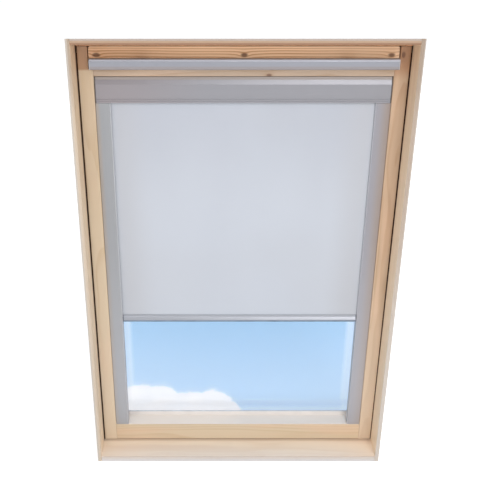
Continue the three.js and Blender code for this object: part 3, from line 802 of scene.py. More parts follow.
class Finishes:
    """Every material that several pieces share, made once."""

    def __init__(self) -> None:
        """Makes the materials."""
        self.alloy_across = self.cassette_alloy()
        self.alloy_upright = self.channel_alloy()
        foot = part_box("control_bar")[0][2]
        # painted shade: the control bar's lower part darker
        low_shade_tint = Tint(rgb(142, 136, 137), 1.0, ((Axis.UP, foot + 10.0 * MM, foot + 6.0 * MM),))
        self.bar_alloy = Metal(
            "bar_alloy", rgb(146, 147, 155), Axis.ACROSS, roughness=0.34, tints=(low_shade_tint,),
        ).material()
        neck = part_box("blind_bottom_bar")[1][2]
        # painted shade: the bottom bar darker below its neck, dimming the light on its slope and
        # lip
        low_shade_tint = Tint(rgb(150, 152, 159), 0.9, ((Axis.UP, neck - 4.5 * MM, neck - 7.0 * MM),))
        self.foot_alloy = Metal(
            "foot_alloy", rgb(166, 168, 175), Axis.ACROSS, roughness=0.36, tints=(low_shade_tint,),
        ).material()
        self.zinc = Metal("zinc_steel", rgb(165, 166, 170), Axis.UP, 0.85, 0.36, 0.22).material()
        self.spacer = Metal("spacer_alloy", rgb(226, 230, 236), Axis.ACROSS, 0.3, 0.4).material()
        self.cover = Lacquer("cover_lacquer", rgb(98, 101, 106)).material()
        self.rubber = Moulded("seal_rubber", rgb(42, 40, 38), 0.75, 600.0, 0.05 * MM).material()
        self.gasket = Moulded("pale_gasket", rgb(208, 212, 219), 0.6, wear=0.3).material()
        self.bead = Moulded("bead_lacquer", rgb(222, 214, 208), 0.5, 500.0, wear=0.15).material()
        self.grey_plastic = Moulded("grey_plastic", rgb(156, 158, 164), 0.5).material()
        self.dark_plastic = Moulded("dark_plastic", rgb(102, 106, 116), 0.5).material()
        # painted shade: the cassette's end caps dark, standing in for the shade in the gaps beside
        # the stiles
        self.gap_shade_cap_plastic = Moulded("gap_shade_cap_plastic", rgb(84, 76, 72), 0.55).material()
        self.pile = Moulded("brush_pile", rgb(120, 122, 128), 0.9, 2500.0, 0.2 * MM).material()
        self.foam = Foam("filter_foam", rgb(218, 216, 208)).material()
        self.cloth = BlindCloth(
            # the third colour is the greyer tone of the painted shade at the sides and of slow
            # patches
            "blind_cloth", rgb(195, 199, 207), rgb(178, 181, 190), rgb(182, 183, 188),
        ).material()
        self.inner_glass = Glazing(
            "inner_glass", rgb(243, 250, 254), rgb(247, 251, 254), rgb(250, 252, 255), cover=0.15,
        ).material()
        self.outer_glass = Glazing(
            "outer_glass", rgb(157, 195, 229), rgb(190, 217, 244), rgb(222, 236, 251), 0.90,
        ).material()
        # painted shade: the gap strips' dark brown stands in for the shade in the gaps beside the
        # sash
        self.gap_shade_rubber = Moulded(
            "gap_shade_rubber", rgb(50, 20, 4), 0.9, 600.0, 0.05 * MM, shine=0.1,
        ).material()
        # painted shade: the head lip's colour stands in for the shaded gap above the flap
        self.head_gap_shade_rubber = Moulded(
            "head_gap_shade_rubber", rgb(228, 168, 126), 0.8, 600.0, 0.05 * MM, shine=0.2,
        ).material()
        self.foot_rubber = Moulded(
            "foot_rubber", rgb(112, 128, 147), 0.7, 600.0, shine=0.3,
        ).material()

    @staticmethod
    def cassette_alloy() -> Material:
        """Makes the cassette's alloy, with painted shade: warmer and darker along its top edge, and
        warmer and duller towards its left end, where the light on its bevel fades.

        Returns:
            The material.
        """
        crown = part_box("blind_cassette")[1][2]
        return Metal("alloy_across", rgb(144, 143, 148), Axis.ACROSS, tints=(
            # painted shade: warmer and duller towards the left end
            Tint(rgb(143, 137, 140), 1.0, ((Axis.ACROSS, -0.05, -0.30),)),
            # painted shade: warm grey-brown along the top edge, under the rail
            Tint(rgb(152, 141, 134), 0.8, ((Axis.UP, crown - 8.0 * MM, crown - 6.0 * MM),)),
        )).material()

    @staticmethod
    def channel_alloy() -> Material:
        """Makes the side channels' alloy: warm towards the stiles as a painted reflection of their
        wood, with a bright inner rim of painted light.

        Returns:
            The material.
        """
        (near, _, _), (far, _, _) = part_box("side_channel_right")
        on_left, on_right = (Axis.ACROSS, 0.0, -0.1), (Axis.ACROSS, 0.0, 0.1)
        right_light_rim = (Axis.ACROSS, near + 0.8 * MM, near + 0.2 * MM)
        left_light_rim = (Axis.ACROSS, -near - 1.5 * MM, -near - 0.5 * MM)
        # painted light: a pale rim on the inner edges, over the shade where the cloth enters the
        # slot
        rim = rgb(206, 208, 212)
        return Metal("alloy_upright", rgb(151, 152, 155), Axis.UP, tints=(
            # painted reflection of the warm wood: the right channel a little warmer and darker
            Tint(rgb(146, 144, 150), 1.0, (on_right,)),
            # painted reflection of the stiles' wood: warmer towards each channel's outer side
            Tint(rgb(151, 139, 133), 1.0, ((Axis.ACROSS, near + 4.0 * MM, far - 2.0 * MM),)),
            Tint(rgb(156, 148, 142), 1.0, ((Axis.ACROSS, 12.0 * MM - far, 3.0 * MM - far),)),
            Tint(rim, 1.0, (right_light_rim, on_right)),
            Tint(rim, 0.9, (left_light_rim, on_left)),
            # painted light: lighter and bluer towards the foot
            Tint(rgb(190, 190, 196), 0.4, ((Axis.UP, 0.80, 0.15),)),
        )).material()


# Meshes

SMOOTH_ANGLE = math.radians(32)
BEVEL_ANGLE = math.radians(40)


def make_object(
    name: str, points: np.ndarray, faces: Sequence, uv: Optional[np.ndarray] = None,
) -> Piece:
    """Makes a mesh object at the origin with its faces turned outwards.

    Args:
        name: The piece's name.
        points: The vertices, one row each, in metres.
        faces: Vertex numbers of each face.
        uv: A place on the cloth for each vertex, in metres, for the UV map named cloth.

    Returns:
        The object, linked to the scene.
    """
    mesh = bpy.data.meshes.new(name)
    mesh.from_pydata(points.reshape(-1, 3).tolist(), [], [list(map(int, face)) for face in faces])
    builder = bmesh.new()
    builder.from_mesh(mesh)
    bmesh.ops.recalc_face_normals(builder, faces=builder.faces)
    builder.to_mesh(mesh)
    builder.free()
    mesh.polygons.foreach_set("use_smooth", np.ones(len(mesh.polygons), bool))
    mesh.set_sharp_from_angle(angle=SMOOTH_ANGLE)
    if uv is not None:
        corners = np.zeros(len(mesh.loops), np.int32)
        mesh.loops.foreach_get("vertex_index", corners)
        layer = mesh.uv_layers.new(name="cloth")
        layer.data.foreach_set("uv", uv.reshape(-1, 2)[corners].astype(np.float32).ravel())
    made = bpy.data.objects.new(name, mesh)
    bpy.context.scene.collection.objects.link(made)
    return made


def grid_faces(rows: int, columns: int, closed: bool) -> np.ndarray:
    """Gives the four-sided faces of a grid of vertices, numbered row by row.

    Args:
        rows: How many rows of vertices there are.
        columns: How many vertices a row has.
        closed: Whether each row ends where it starts.

    Returns:
        One row of four vertex numbers for each face.
    """
    row = np.arange(rows - 1)[:, None]
    column = np.arange(columns if closed else columns - 1)[None, :]
    after = (column + 1) % columns
    corners = [row * columns + column, row * columns + after]
    corners += [(row + 1) * columns + after, (row + 1) * columns + column]
    return np.stack(np.broadcast_arrays(*corners), -1).reshape(-1, 4)


def tube_faces(rows: int, columns: int) -> list[list[int]]:
    """Gives the faces of a tube of closed rows, with one face over each end.

    Args:
        rows: How many rows of vertices there are.
        columns: How many vertices a row has.

    Returns:
        The vertex numbers of each face.
    """
    faces = grid_faces(rows, columns, True).tolist()
    last = (rows - 1) * columns
    return [*faces, list(range(columns)), list(range(last, last + columns))]


def ring_faces(rows: int, columns: int) -> list[list[int]]:
    """Gives the faces of a ring of closed rows, of which the last is joined to the first.

    Args:
        rows: How many rows of vertices there are.
        columns: How many vertices a row has.

    Returns:
        The vertex numbers of each face.
    """
    return (grid_faces(rows + 1, columns, True) % (rows * columns)).tolist()


def rounded(corners: Corners, steps: int = 6) -> np.ndarray:
    """Rounds the corners of a closed outline by arcs that touch both sides.

    An arc's centre lies on the corner's bisector at radius / sin(half the angle), and its
    points turn evenly from one touching point to the other.

    Args:
        corners: Rows of (u, v) or (u, v, radius).
        steps: How many parts an arc has.

    Returns:
        The outline's points, one row each.
    """
    places = np.array([corner[:2] for corner in corners], float)
    radii = [corner[2] if len(corner) > 2 else 0.0 for corner in corners]
    outline = []
    for i, (here, radius) in enumerate(zip(places, radii)):
        back = places[i - 1] - here
        ahead = places[(i + 1) % len(places)] - here
        back, ahead = back / np.linalg.norm(back), ahead / np.linalg.norm(ahead)
        half = math.acos(float(np.clip(back @ ahead, -1, 1))) / 2
        if radius <= 0 or half > math.pi / 2 - 1e-6:
            outline.append(here[None])
            continue
        middle = here + (back + ahead) / np.linalg.norm(back + ahead) * radius / math.sin(half)
        first = (here + back * radius / math.tan(half) - middle) / radius
        last = (here + ahead * radius / math.tan(half) - middle) / radius
        turn = math.pi - 2 * half
        share = np.linspace(0, 1, steps + 1)[:, None]
        arc = (np.sin((1 - share) * turn) * first + np.sin(share * turn) * last) / math.sin(turn)
        outline.append(middle + radius * arc)
    return np.concatenate(outline)


def laid(outline: np.ndarray, axis: Axis, at: float) -> np.ndarray:
    """Places an outline's (u, v) points square to an axis, in the order of the other two axes."""
    return np.insert(outline, axis.value, at, axis=1)


def bar(name: str, outline: np.ndarray, axis: Axis, span: Pair) -> Piece:
    """Carries a closed outline straight along an axis and closes both ends.

    Args:
        name: The piece's name.
        outline: The section's points in the other two axes.
        axis: The direction in which the section runs.
        span: Where it starts and ends.

    Returns:
        The piece.
    """
    points = np.stack([laid(outline, axis, at) for at in span])
    return make_object(name, points, tube_faces(len(span), len(outline)))


def pipe(name: str, outer: np.ndarray, inner: np.ndarray, axis: Axis, span: Pair) -> Piece:
    """Carries a hollow section straight along an axis: two outlines with as many points each.

    Args:
        name: The piece's name.
        outer: The outside outline.
        inner: The inside outline, whose points stand opposite the outer one's.
        axis: The direction in which the section runs.
        span: Where it starts and ends.

    Returns:
        The piece, whose grid goes out along the outside and back along the inside.
    """
    start, end = span
    rings = [laid(outer, axis, start), laid(outer, axis, end)]
    rings += [laid(inner, axis, end), laid(inner, axis, start)]
    return make_object(name, np.stack(rings), ring_faces(len(rings), len(outer)))


def ease(piece: Piece, width: float) -> None:
    """Rounds a piece's sharp edges with a live bevel.

    Args:
        piece: The piece.
        width: The bevel's width.
    """
    bevel = piece.modifiers.new("ease", "BEVEL")
    bevel.width = width
    bevel.segments = 2
    bevel.limit_method = "ANGLE"
    bevel.angle_limit = BEVEL_ANGLE
    bevel.harden_normals = True


def settle(piece: Piece, body: str, slot: str, material: Material, *replaced: str) -> None:
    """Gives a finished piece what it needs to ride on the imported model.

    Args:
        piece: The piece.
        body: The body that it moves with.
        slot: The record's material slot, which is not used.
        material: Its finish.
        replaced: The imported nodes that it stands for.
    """
    piece.data.materials.clear()
    piece.data.materials.append(material)
    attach(piece, body)
    if replaced:
        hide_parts(*replaced)
    LOG.info("%s: %d faces on %s", piece.name, len(piece.data.polygons), body)


def dress(nodes: Sequence[str], material: Material) -> None:
    """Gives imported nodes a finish.

    Args:
        nodes: The nodes' names.
        material: The finish.
    """
    for name in nodes:
        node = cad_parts[name]
        node.data.materials.clear()
        node.data.materials.append(material)
        LOG.info("%s: dressed as %s", name, material.name)


def both(stem: str) -> list[str]:
    """Gives the left and right names of a paired node."""
    return [f"{stem}_{side}" for side in SIDES]


def span_of(node: str, axis: Axis) -> Pair:
    """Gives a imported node's reach along an axis."""
    low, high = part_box(node)
    return low[axis.value], high[axis.value]


def past(axis: Axis, edge: float, distances: Pair) -> tuple[Axis, float, float]:
    """Gives a tint's limit, absent at the first distance past an edge and full at the second."""
    return axis, edge + distances[0], edge + distances[1]


# The sub-assemblies


class Wood(Enum):
    """The tones of the boards' pine, as the colours of its early and its late wood."""

    LIGHT = (rgb(208, 188, 161), rgb(190, 163, 128))
    # painted light: lifted for the jambs' shaded inner faces
    BRIGHT = (rgb(237, 212, 182), rgb(217, 185, 146))
    # painted light: the sill's upward face, lit from above
    PALE = (rgb(252, 232, 205), rgb(240, 213, 178))
    WARM = (rgb(202, 171, 142), rgb(177, 139, 103))
    # the right stile's own darker tone, with painted shade
    SHADED = (rgb(188, 160, 133), rgb(164, 129, 96))
    DULL = (rgb(186, 162, 140), rgb(162, 131, 102))


@dataclass
class Timber:
    """The pine boards of the frame and the sash, each with grain of its own.

    A pair whose name ends in fade holds the distances from an edge at which a tint is absent
    and full, and one that ends in heights or depths holds the places in the window.
    """

    finishes: Finishes
    edge_colour: Colour = rgb(192, 183, 174)
    front_colour: Colour = rgb(192, 175, 156)
    shaded_front_colour: Colour = rgb(166, 148, 134)
    # painted light: lighter low on the right jamb's front
    low_front_light_colour: Colour = rgb(204, 194, 184)
    # painted shade: darker high on the jambs' fronts
    high_front_shade_colour: Colour = rgb(146, 126, 108)
    # painted light on the upward faces of the sill and the ledge
    painted_light_colour: Colour = rgb(255, 243, 232)
    sill_front_colour: Colour = rgb(190, 184, 182)
    sill_foot_colour: Colour = rgb(206, 202, 204)
    sill_edge_colour: Colour = rgb(200, 180, 168)
    # painted shade: darker and redder at the top of the stiles
    upper_shade_colour: Colour = rgb(164, 117, 81)
    # painted light: paler at the stiles' foot
    foot_colour: Colour = rgb(226, 206, 182)
    # painted light: paler towards the jambs' foot
    jamb_foot_colour: Colour = rgb(252, 233, 208)
    # painted shade in the gaps between the frame and the sash
    gap_shade_colour: Colour = rgb(50, 20, 4)
    shadow_colour: Colour = rgb(150, 110, 75)
    # painted shade: darker towards the stiles' top
    stile_colour: Colour = rgb(164, 128, 96)
    # painted shade on the head's front
    head_shade_colour: Colour = rgb(172, 142, 116)
    head_edge_colour: Colour = rgb(174, 162, 154)
    # painted shade: darker under the head's edge
    head_foot_shade_colour: Colour = rgb(134, 92, 64)
    front_fade: Pair = (1.5 * MM, 0.3 * MM)
    left_edge_fade: Pair = (7.5 * MM, 4.5 * MM)
    right_edge_fade: Pair = (-5.5 * MM, -3.0 * MM)
    gap_floor_fade: Pair = (10.0 * MM, 7.0 * MM)
    left_gap_fade: Pair = (-11.0 * MM, -8.5 * MM)
    right_gap_fade: Pair = (-4.0 * MM, -1.5 * MM)
    left_jamb_fade: Pair = (-4.0 * MM, -2.0 * MM)
    right_jamb_fade: Pair = (4.0 * MM, 2.0 * MM)
    left_stile_fade: Pair = (1.3 * MM, 0.6 * MM)
    right_stile_fade: Pair = (-1.3 * MM, -0.6 * MM)
    head_top_fade: Pair = (-6.0 * MM, -3.0 * MM)
    head_foot_fade: Pair = (-7.5 * MM, -11.5 * MM)
    sill_edge_fade: Pair = (4.0 * MM, 2.0 * MM)
    sill_shadow_fade: Pair = (-12.0 * MM, -2.0 * MM)
    ledge_fade: Pair = (-0.9 * MM, -0.4 * MM)
    jamb_foot_heights: Pair = (1.10, 0.45)
    high_front_heights: Pair = (0.98, 1.13)
    low_front_heights: Pair = (0.85, 0.25)
    right_jamb_gap_heights: Pair = (0.0, 0.70)
    right_stile_gap_heights: Pair = (0.10, 0.75)
    left_upper_heights: Pair = (1.0870, 1.0925)
    right_upper_heights: Pair = (1.0600, 1.1000)
    stile_heights: Pair = (0.62, 0.85)
    stile_foot_heights: Pair = (0.70, 0.15)
    sill_foot_heights: Pair = (10.0 * MM, 3.0 * MM)
    sill_edge_heights: Pair = (12.0 * MM, 14.0 * MM)
    sill_top_heights: Pair = (15.0 * MM, 15.4 * MM)
    sill_front_depths: Pair = (-25.0 * MM, -55.0 * MM)
    strip_inset: float = 2.0 * MM
    strip_depth: float = 5.0 * MM
    strip_share: float = 0.8
    strip_nose: float = 0.6 * MM
    head_strip: Triple = (-2.5 * MM, -0.5 * MM, 2.2 * MM)
    head_strip_root: float = 0.6 * MM
    head_strip_radius: float = 0.8 * MM

    def build(self) -> None:
        """Dresses every board and lays the strips in the gap."""
        self.jambs()
        self.head_and_sill()
        self.stiles()
        self.rails()
        for side in SIDES:
            self.gap_strip(side)
        self.head_seal()

    def board(
        self, node: str, grain: Axis, wood: Wood, pith: Pair, seed: float,
        tints: Sequence[Tint] = (), knots: Sequence[Knot] = (),
    ) -> None:
        """Dresses a board in pine of its own.

        Args:
            node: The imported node.
            grain: The direction of its grain.
            wood: Its tone.
            pith: Where the pith line lies, in the two axes across the grain.
            seed: What sets its figure apart.
            tints: Its tints, in the order in which they are laid.
            knots: Its knots.
        """
        pine = Pine(f"{node}_pine", grain, *wood.value, pith, seed, tuple(knots), tuple(tints))
        dress([node], pine.material())

    def front(self) -> tuple[Axis, float, float]:
        """Gives the limit of a tint on the frame's front edges."""
        return past(Axis.OUT, CAD_BOX[0][1], self.front_fade)

    def in_gap(self) -> tuple[Axis, float, float]:
        """Gives the limit of a tint in the gap, from its mouth to the strips."""
        return past(Axis.OUT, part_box("sash_stile_left")[0][1], self.gap_floor_fade)

    def jambs(self) -> None:
        """Dresses the jambs: pale at the foot as painted light, greyer in front, darker high on the
        front as painted shade, and dark in the gap as painted shade.
        """
        front, wide, sash = self.front(), CAD_BOX[1][0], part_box("sash_stile_left")[0][1]
        # painted light: paler towards the foot
        foot = Tint(self.jamb_foot_colour, 0.6, ((Axis.UP, *self.jamb_foot_heights),))
        # painted shade: darker high on the front
        high = Tint(self.high_front_shade_colour, 0.6, (front, (Axis.UP, *self.high_front_heights)))
        # painted shade: dark brown in the gap beside the sash
        left_gap = Tint(self.gap_shade_colour, 0.92, (
            past(Axis.OUT, sash, self.left_gap_fade), self.in_gap(),
            past(Axis.ACROSS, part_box("frame_jamb_left")[1][0], self.left_jamb_fade),
        ))
        # painted shade: dark brown in the gap beside the sash
        right_gap = Tint(self.gap_shade_colour, 0.92, (
            past(Axis.OUT, sash, self.right_gap_fade), self.in_gap(),
            past(Axis.ACROSS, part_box("frame_jamb_right")[0][0], self.right_jamb_fade),
            (Axis.UP, *self.right_jamb_gap_heights),
        ))
        left_edge = past(Axis.ACROSS, -wide, self.left_edge_fade)
        right_edge = past(Axis.ACROSS, wide, self.right_edge_fade)
        self.board("frame_jamb_left", Axis.UP, Wood.BRIGHT, (-0.430, 0.030), 1.3, (
            foot, left_gap, Tint(self.front_colour, 0.85, (front,)), high,
            Tint(self.edge_colour, 0.85, (front, left_edge)),
        ))
        self.board("frame_jamb_right", Axis.UP, Wood.BRIGHT, (0.440, 0.020), 5.1, (
            foot, right_gap, Tint(self.shaded_front_colour, 0.9, (front,)), high,
            Tint(self.edge_colour, 0.5, (front, right_edge)),
            # painted light: lighter low on the front
            Tint(self.low_front_light_colour, 0.8, (front, (Axis.UP, *self.low_front_heights))),
        ))

    def head_and_sill(self) -> None:
        """Dresses the head, with painted shade on its front and darker under its edge, and the
        sill, with painted light on its upper face but a painted shadow beside the sash.
        """
        front, top = self.front(), CAD_BOX[1][2]
        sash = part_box("sash_stile_left")[0][1]
        self.board("frame_head", Axis.ACROSS, Wood.WARM, (0.060, 1.220), 9.7, (
            # painted shade on the front
            Tint(self.head_shade_colour, 0.9, (front,)),
            Tint(self.head_edge_colour, 0.9, (front, past(Axis.UP, top, self.head_top_fade))),
            # painted shade: darker under the edge
            Tint(self.head_foot_shade_colour, 0.8, (front, past(Axis.UP, top, self.head_foot_fade))),
        ))
        upper_face = (Axis.UP, *self.sill_top_heights)
        arris = past(Axis.OUT, CAD_BOX[0][1], self.sill_edge_fade)
        # the pale wood is painted light for the sill's upward face
        self.board("frame_sill", Axis.ACROSS, Wood.PALE, (-0.030, -0.070), 3.9, (
            Tint(self.sill_front_colour, 0.75, (front,)),
            Tint(self.sill_foot_colour, 0.7, (front, (Axis.UP, *self.sill_foot_heights))),
            # painted light on the upper face, stronger towards the front
            Tint(self.painted_light_colour, 0.38, (upper_face,)),
            Tint(self.painted_light_colour, 0.35, (upper_face, (Axis.OUT, *self.sill_front_depths))),
            Tint(self.sill_edge_colour, 0.5, (arris, (Axis.UP, *self.sill_edge_heights))),
            Tint(self.shadow_colour, 0.38, (past(Axis.OUT, sash, self.sill_shadow_fade),)),
        ))

    def stiles(self) -> None:
        """Dresses the stiles: pale at the foot as painted light, and with painted shade darker
        upwards, redder beside the cassette and dark at the gap.
        """
        # painted light: paler at the foot
        foot = Tint(self.foot_colour, 0.5, ((Axis.UP, *self.stile_foot_heights),))
        # painted shade: darker towards the top
        middle = Tint(self.stile_colour, 0.13, ((Axis.UP, *self.stile_heights),))
        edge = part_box("sash_stile_right")[1][0]
        left_gap = (self.in_gap(), past(Axis.ACROSS, -edge, self.left_stile_fade))
        right_gap = (
            self.in_gap(), past(Axis.ACROSS, edge, self.right_stile_fade),
            (Axis.UP, *self.right_stile_gap_heights),
        )
        self.board("sash_stile_left", Axis.UP, Wood.LIGHT, (-0.352, 0.078), 7.7, (
            # painted shade: darker and redder at the top
            Tint(self.upper_shade_colour, 0.8, ((Axis.UP, *self.left_upper_heights),)), foot, middle,
            # painted shade at the gap
            Tint(self.gap_shade_colour, 0.2, left_gap),
        ))
        # the right stile's darker wood holds painted shade as well as its own tone
        self.board("sash_stile_right", Axis.UP, Wood.SHADED, (0.372, 0.070), 2.2, (
            # painted shade at the top and at the gap
            Tint(self.upper_shade_colour, 0.8, ((Axis.UP, *self.right_upper_heights),)), foot, middle,
            Tint(self.gap_shade_colour, 0.6, right_gap),
        ), (Knot((0.3600, 0.001, 1.1245), 5.0 * MM),))

    def rails(self) -> None:
        """Dresses the bottom rail, with painted light on its ledge, and the top rail."""
        ledge = past(Axis.UP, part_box("side_channel_left")[0][2], self.ledge_fade)
        self.board("sash_bottom_rail", Axis.ACROSS, Wood.LIGHT, (0.060, 0.020), 6.4, (
            # painted light on the ledge's upward face
            Tint(self.painted_light_colour, 1.0, (ledge,)),
        ))
        knot = Knot((0.058, 0.001, 1.0775), 4.5 * MM)
        self.board(
            "sash_top_rail", Axis.ACROSS, Wood.DULL, (0.055, 1.070), 8.8, knots=(knot,),
        )

    def head_seal(self) -> None:
        """Hangs a thin rubber lip under the head, in front of the sash's upper edge, coloured as
        painted shade for the gap that it covers.
        """
        start, end, drop = self.head_strip
        near, far = self.soffit(start), self.soffit(end)
        corners = (
            (start, near + self.head_strip_root), (start, near - drop, self.head_strip_radius),
            (end, far - drop, self.head_strip_radius), (end, far + self.head_strip_root),
        )
        reach = (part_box("sash_stile_left")[0][0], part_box("sash_stile_right")[1][0])
        lip = bar("head_seal_lip", rounded(corners, 4), Axis.ACROSS, reach)
        settle(lip, "frame", "seal_rubber", self.finishes.head_gap_shade_rubber)

    def soffit(self, depth: float) -> float:
        """Works out the height of the head's underside, in a line between its lower edges.

        Args:
            depth: How far out the place is.

        Returns:
            The height there.
        """
        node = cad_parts["frame_head"]
        flat = np.zeros(3 * len(node.data.vertices))
        node.data.vertices.foreach_get("co", flat)
        turn = np.array(node.matrix_world)
        points = flat.reshape(-1, 3) @ turn[:3, :3].T + turn[:3, 3]
        ends = (float(points[:, 1].min()), float(points[:, 1].max()))
        lows = [float(points[np.abs(points[:, 1] - place) < 0.1 * MM, 2].min()) for place in ends]
        return float(np.interp(depth, ends, lows))

    def gap_strip(self, side: str) -> None:
        """Lays a rubber strip with a rounded nose in the gap between a jamb and the sash, dark
        brown as painted shade for the gap.

        Args:
            side: The side of the window.
        """
        jamb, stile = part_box(f"frame_jamb_{side}"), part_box(f"sash_stile_{side}")
        wall, sash = (jamb[1][0], stile[0][0]) if side == "left" else (jamb[0][0], stile[1][0])
        tip = wall + (sash - wall) * self.strip_share
        start = stile[0][1] + self.strip_inset
        end = start + self.strip_depth
        corners = (
            (wall, start), (tip, start, self.strip_nose), (tip, end, self.strip_nose), (wall, end),
        )
        reach = span_of(f"jamb_seal_{side}", Axis.UP)
        strip = bar(f"gap_strip_{side}", rounded(corners, 4), Axis.UP, reach)
        settle(strip, "frame", "seal_rubber", self.finishes.gap_shade_rubber)


@dataclass
class Flap:
    """The ventilation flap and its control bar."""

    finishes: Finishes
    wall: float = 1.6 * MM
    chamfer_height: float = 4.4 * MM
    chamfer_depth: float = 2.4 * MM
    edge_radius: float = 1.2 * MM
    least_edge: float = 0.6 * MM
    foot_radius: float = 2.5 * MM
    least_foot: float = 0.4 * MM
    cap_thickness: float = 2.0 * MM
    cap_rim: float = 0.6 * MM
    plug_gap: float = 0.3 * MM
    # painted light: the flap's colours lifted against the shade under the head
    early_colour: Colour = rgb(247, 206, 166)
    late_colour: Colour = rgb(198, 142, 96)
    left_colour: Colour = rgb(205, 148, 102)
    right_colour: Colour = rgb(226, 192, 160)
    knot_places: Triple = (-0.335, 0.001, 0.335)
    knot_height: float = 1.1215
    knot_radius: float = 6.0 * MM

    def outline(self, shrink: float) -> np.ndarray:
        """Gives the bar's section, in depth and height, moved in by a distance.

        Args:
            shrink: How far each side moves in.

        Returns:
            The section's points, as many whatever the distance.
        """
        low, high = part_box("control_bar")
        edge = max(self.edge_radius - shrink, self.least_edge)
        foot = max(self.foot_radius - shrink, self.least_foot)
        front, back = low[1] + shrink, high[1] - shrink
        bottom, top = low[2] + shrink, high[2] - shrink
        corners = (
            (front, bottom, foot), (back, bottom, foot), (back, top, foot),
            (front + self.chamfer_depth, top, edge), (front, top - self.chamfer_height, edge),
        )
        return rounded(corners, 8)

    def build(self) -> None:
        """Dresses the board and makes the bar with its caps."""
        dress(["ventilation_flap"], self.pine().material())
        dress(both("control_bar_bracket"), self.finishes.zinc)
        tube = pipe(
            "control_bar_tube", self.outline(0.0), self.outline(self.wall), Axis.ACROSS,
            span_of("control_bar", Axis.ACROSS),
        )
        settle(tube, "vent_flap", "bar_aluminium", self.finishes.bar_alloy, "control_bar")
        for side in SIDES:
            self.cap(side)

    def pine(self) -> Pine:
        """Gives the flap's wood, redder than the boards round it, with a row of knots, lightened as
        painted light against the shade under the head.

        Returns:
            The finish.
        """
        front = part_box("ventilation_flap")[0][1]
        knots = (Knot((x, front, self.knot_height), self.knot_radius) for x in self.knot_places)
        return Pine(
            "flap_pine", Axis.ACROSS, self.early_colour, self.late_colour, (0.060, 1.090), 4.4,
            tuple(knots), contrast=0.76, ring_width=3.9 * MM, sway=8.0 * MM, tints=(
                Tint(self.left_colour, 0.28, ((Axis.ACROSS, -0.05, -0.30),)),
                Tint(self.right_colour, 0.30, ((Axis.ACROSS, 0.05, 0.30),)),
            ),
        )

    def cap(self, side: str) -> None:
        """Makes an end cap: a plate with a rounded rim and a plug inside the bar.

        Args:
            side: The side of the window.
        """
        node = f"control_bar_cap_{side}"
        start, end = span_of(node, Axis.ACROSS)
        outer, tip = (start, end) if side == "left" else (end, start)
        inner = outer + math.copysign(self.cap_thickness, tip - outer)
        rim = (inner - outer) * 0.35
        plug = self.outline(self.wall + self.plug_gap)
        stations = [
            laid(self.outline(self.cap_rim), Axis.ACROSS, outer),
            laid(self.outline(0.0), Axis.ACROSS, outer + rim),
            laid(self.outline(0.0), Axis.ACROSS, inner),
            laid(plug, Axis.ACROSS, inner),
            laid(plug, Axis.ACROSS, tip),
        ]
        faces = tube_faces(len(stations), len(plug))
        cap = make_object(f"bar_cap_{side}", np.stack(stations), faces)
        settle(cap, "vent_flap", "grey_plastic", self.finishes.grey_plastic, node)


